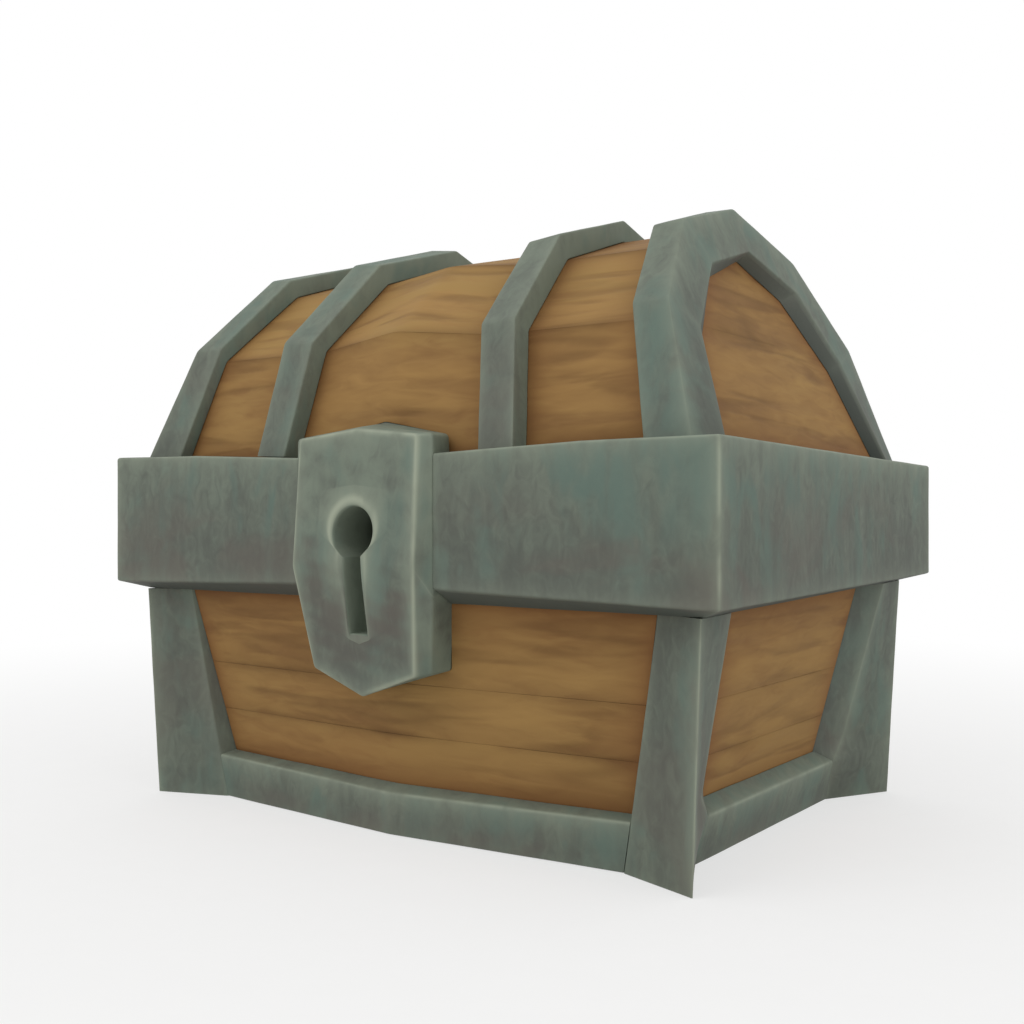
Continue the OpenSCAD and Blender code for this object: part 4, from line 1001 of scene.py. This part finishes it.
def face_y(z):
    """Face of the block at a height: straight between its bends, with the widest one rounded."""
    share = (z - LOCK_LOW_Z) / LOCK_H
    rows = LOCK_FRONT[::-1]
    bent = np.interp(share, rows[:, 2], rows[:, 1])
    off = np.clip(1 - abs(z - WIDEST_Z) / FACE_BEND_ROUND, 0, 1)
    slopes = np.diff(rows[:, 1]) / np.diff(rows[:, 2])
    bent = bent - (slopes[1] - slopes[2]) * FACE_BEND_ROUND / LOCK_H / 4 * off ** 2
    return -LOCK_BACK - bent * LOCK_D


def keyhole_reach(angles):
    """Distance from the middle of the block's face to the keyhole's edge, by direction.

    Upwards it is the far side of the circle, elsewhere the slot's straight sides or its foot.
    """
    across, up = abs(np.cos(angles)), np.sin(angles)
    rise_to_circle = KEYHOLE_Z - WIDEST_Z
    inside = KEYHOLE_R ** 2 - (rise_to_circle * across) ** 2
    circle = np.where((inside > 0) & (up > 0), up * rise_to_circle + np.sqrt(np.maximum(inside, 0)), 0)
    spread = (SLOT_FOOT_W - SLOT_TOP_W) / 2 / (KEYHOLE_Z - SLOT_FOOT_Z)
    half_w = SLOT_TOP_W / 2 + spread * rise_to_circle
    side = half_w / np.maximum(across + spread * up, TINY)
    stop = np.where(up > 0, rise_to_circle, WIDEST_Z - SLOT_FOOT_Z) / np.maximum(abs(up), TINY)
    return np.maximum(circle, np.minimum(side, stop))


def block_back_y(x, z):
    """Back of the block: against the wall below, the rim's timber behind it and the lid's foot above."""
    foot, top = FRONT_WALL
    wall_x, wall_y = (mix(foot[c], top[c], z / SEAT_FRONT) for c in (0, 1))
    wall = -(wall_y + WALL_CROWN * (1 - abs(x) / wall_x) + FIT)
    y = np.where(z < seat_z(-FRONT_WALL[1, 1]) + FIT, np.minimum(wall, RIM_CUT_Y), RIM_CUT_Y)
    return np.where(z > SHELF_Z, LID_CUT_Y, y)


def lock_block():
    """Block with its keyhole, as one skin that runs back into itself.

    The rows go from the round hole's back end through the hole, over the slot's floor, up the
    keyhole's wall, over the face, round the sides and across the back to the hole again. Outside
    the keyhole they follow the block's outlines. Inside it each sample takes the keyhole's edge
    in its own direction from the middle of the face.
    """
    front = lock_ring(LOCK_FRONT, FRONT_TONES)
    inner = front.copy()
    inner[:, 0] *= FACE_SHARE
    inner[:, 2] = mix(WIDEST_Z, front[:, 2], FACE_SHARE)
    inner[:, 1] = face_y(inner[:, 2])
    middle, back = lock_ring(LOCK_MID, MIDDLE_TONES), lock_ring(LOCK_BACK_RING, BACK_TONES)
    rings, bends, lights = np.array([inner, front, middle, back]), [0, 1.4, 1.0, 0], [0, 1.0, 0.5, 0]
    shell = sweep(rings[..., :3], rings[..., 3], LOCK_RADII, LOCK_LIGHTS, bends, lights, LOCK_STEP)
    # On the face the pale paint, painted highlight, is measured from the brink of the outline
    on_face = shell.places < 1
    brink = shell.points[int(np.argmin(abs(shell.places - 1)))]
    to_brink = np.linalg.norm(shell.points[on_face] - brink, axis=2)
    shell.edge[on_face] = np.minimum(to_brink + BRINK_DIM, NO_EDGE)
    outline = shell.points[0]
    angles = np.arctan2(outline[:, 2] - WIDEST_Z, outline[:, 0])
    reach = keyhole_reach(angles)
    edge_x, edge_z = reach * np.cos(angles), WIDEST_Z + reach * np.sin(angles)

    def ring(x, y, z):
        return np.stack([x, np.broadcast_to(y, x.shape), z], axis=1)

    # The round hole alone: samples on the slot are spread over the circle's lower arc
    from_top = abs(math.pi / 2 - angles)
    from_top = np.minimum(from_top, 2 * math.pi - from_top)
    last_on_circle = math.asin(KEYHOLE_R / (KEYHOLE_Z - WIDEST_Z))
    on_circle = np.arctan2(abs(edge_x), edge_z - KEYHOLE_Z)
    past = (from_top - last_on_circle) / (math.pi - last_on_circle)
    spread = mix(math.pi / 2 + last_on_circle, math.pi, past)
    turned = np.where(from_top <= last_on_circle, on_circle, spread)
    hole_x = KEYHOLE_R * np.sin(turned) * np.sign(edge_x + TINY)
    hole_z = KEYHOLE_Z + KEYHOLE_R * np.cos(turned)

    mouth = ring(edge_x, face_y(edge_z), edge_z)
    outward = (outline - mouth) / np.linalg.norm(outline - mouth, axis=1, keepdims=True)
    round_end = mouth + outward * KEYHOLE_ROUND
    round_end[:, 1] = face_y(round_end[:, 2])
    in_wall = mouth + np.array([0, KEYHOLE_ROUND, 0])
    floor = ring(edge_x, SLOT_FLOOR_Y, edge_z)
    hole_floor, hole_back = ring(hole_x, SLOT_FLOOR_Y, hole_z), ring(hole_x, RIM_CUT_Y, hole_z)
    rows = [mix(hole_back, hole_floor, t) for t in (0, 0.5, 1)]
    rows += [mix(hole_floor, floor, t) for t in (0.5, 1)]
    rows += [mix(floor, in_wall, t) for t in (0.33, 0.66)]
    for s in np.linspace(0, 1, EDGE_ROWS):
        rows.append((1 - s) ** 2 * in_wall + 2 * s * (1 - s) * mouth + s ** 2 * round_end)
    in_keyhole = len(rows) - EDGE_ROWS // 2
    for t in np.linspace(0, 1, FACE_ROWS)[1:-1]:
        across = mix(round_end, outline, t)
        across[:, 1] = mix(face_y(across[:, 2]), across[:, 1], t ** FACE_EASE)
        rows.append(across)
    x, y, z = np.moveaxis(shell.points, -1, 0)
    shell.points[..., 1] = np.minimum(y, block_back_y(x, z))
    back_rows = []
    for t in np.linspace(0, 1, BACK_ROWS)[1:-1]:
        across = mix(shell.points[-1], hole_back, t)
        across[:, 1] = block_back_y(across[:, 0], across[:, 2])
        back_rows.append(across)
    before, after = np.array(rows), np.array(back_rows)
    points = np.concatenate([before, shell.points, after])

    # The painted highlight round the keyhole: a paler tone and pale paint near the mouth, fainter towards
    # the slot's foot; inside the keyhole, pale paint as painted light against its shade
    face_tone = np.broadcast_to(shell.tone[0], before.shape[:2]).copy()
    from_mouth = np.linalg.norm(before - mouth, axis=2)
    over = np.clip((edge_z - SLOT_FOOT_Z) / (KEYHOLE_Z - SLOT_FOOT_Z), HALO_LEAST, 1)
    face_tone += HALO_TONE * over * np.exp(-from_mouth / HALO_REACH)
    face_tone[:in_keyhole] = KEYHOLE_TONE
    halo = abs(from_mouth - HALO_OUT) * HALO_FADE + mix(HALO_DIM, 0, over)
    face_edge = np.minimum(halo, np.linalg.norm(before - outline, axis=2) + shell.edge[0])
    face_edge[:in_keyhole] = KEYHOLE_EDGE
    tone = np.concatenate([face_tone, shell.tone, np.full(after.shape[:2], BEHIND_TONE)])
    edge = np.concatenate([face_edge, shell.edge, np.full(after.shape[:2], NO_EDGE)])
    tone = tone + LOCK_MOTTLE * unevenness(points, LOCK_BLOT)
    dress("lock_block", Skin(points, tone, edge, closed_path=True), "chest", "iron", iron)


lock_block()


# Light, floor and camera, in metres


# Each soft box: its place, its side and its power
LAMPS = {
    "key_soft_box": ((-0.5, -1.4, 1.5), 1.2, 6),
    "side_soft_box": ((1.5, -0.2, 0.9), 1.0, 2.2)}
LAMP_AIM = Vector((0, 0, 0.12))
WHITE = (1, 1, 1, 1)
WORLD_ON_OBJECT = 0.8
FLOOR_SIZE, FLOOR_DROP = 8.0, 0.0002
# The floor's own share of white near the chest, and the distances over which it fades to all white
FLOOR_GLOW, GLOW_START, GLOW_END = 0.6, 0.25, 0.9
CAMERA_PLACE, CAMERA_TURN = (0.3531, -0.5046, 0.13905), 35.488
CAMERA_SENSOR, CAMERA_LENS = 36.0, 43.456


def background_rays(tree):
    """1 for rays from the camera and off or through shiny surfaces, 0 for the light on the object."""
    camera, glossy, through = (
        Socket(tree).node("ShaderNodeLightPath", output=f"Is {kind} Ray")
        for kind in ("Camera", "Glossy", "Transmission"))
    seen = camera.math("MAXIMUM", camera, glossy)
    return seen.math("MAXIMUM", seen, through)


def studio():
    """Even white surroundings and two soft boxes from above."""
    world = bpy.data.worlds.new("studio_world")
    bpy.context.scene.world = world
    world.use_nodes = True
    tree = world.node_tree
    background = tree.nodes["Background"]
    background.inputs["Color"].default_value = WHITE
    strength = mix(WORLD_ON_OBJECT, 1.0, background_rays(tree))
    tree.links.new(strength.output, background.inputs["Strength"])
    for name, (place, size, power) in LAMPS.items():
        light = bpy.data.lights.new(name, "AREA")
        light.shape, light.size, light.energy = "SQUARE", size, power
        lamp = bpy.data.objects.new(name, light)
        lamp.location = place
        lamp.rotation_euler = (LAMP_AIM - Vector(place)).to_track_quat("-Z", "Y").to_euler()
        bpy.context.scene.collection.objects.link(lamp)


def pale_floor():
    """Pale floor that keeps the chest's shadow and fades to the white behind it."""
    bpy.ops.mesh.primitive_plane_add(size=FLOOR_SIZE, location=(0, 0, -FLOOR_DROP))
    floor = bpy.context.active_object
    floor.name = "pale_floor"
    material, shader, place = new_material("pale_floor_paint")
    grain = noise(place, 60.0)
    colour = grain.blend(srgb(236, 236, 234), srgb(240, 240, 239))
    finish_material(place, shader, colour, 0.9 + grain * 0.05, grain, bump_distance=0.0001)
    tree = material.node_tree
    glow = place.node("ShaderNodeEmission", inputs={"Color": WHITE})
    away = place.node("ShaderNodeVectorMath", {"operation": "LENGTH"}, {0: place}, "Value")
    white = FLOOR_GLOW + band(away, GLOW_START, GLOW_END) * (1 - FLOOR_GLOW)
    inputs = {0: background_rays(tree) * white, 1: Socket(tree, shader.outputs[0]), 2: glow}
    surface = place.node("ShaderNodeMixShader", inputs=inputs)
    tree.links.new(surface.output, tree.nodes["Material Output"].inputs["Surface"])
    floor.data.materials.append(material)


def photo_camera():
    """Camera at the photograph's place and angle."""
    data = bpy.data.cameras.new("photo_camera")
    data.sensor_width, data.lens = CAMERA_SENSOR, CAMERA_LENS
    camera = bpy.data.objects.new("photo_camera", data)
    camera.location = CAMERA_PLACE
    camera.rotation_euler = Euler((math.radians(90), 0, math.radians(CAMERA_TURN)))
    bpy.context.scene.collection.objects.link(camera)
    bpy.context.scene.camera = camera


def keep_nodes():
    """Carried-over nodes: the timber rails, the floor, the lock's works and the hinges."""
    finishes = {
        inner_across: ["rim_front", "rim_back", "floor_front", "floor_middle", "floor_back"],
        inner_deep: ["rim_left", "rim_right", "floor_battens"],
        steel: [
            "lock_case", "lock_cap", "bolt_spring", "bolt", "staple", "hinge_pin_left", "hinge_pin_right"],
        bare_iron: ["leaf_left", "leaf_right", "lid_leaf_left", "lid_leaf_right"]}
    for material, names in finishes.items():
        for node_name in names:
            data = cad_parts[node_name].data
            data.materials.clear()
            data.materials.append(material)


keep_nodes()
studio()
pale_floor()
photo_camera()
bpy.context.scene.view_settings.view_transform = "Standard"
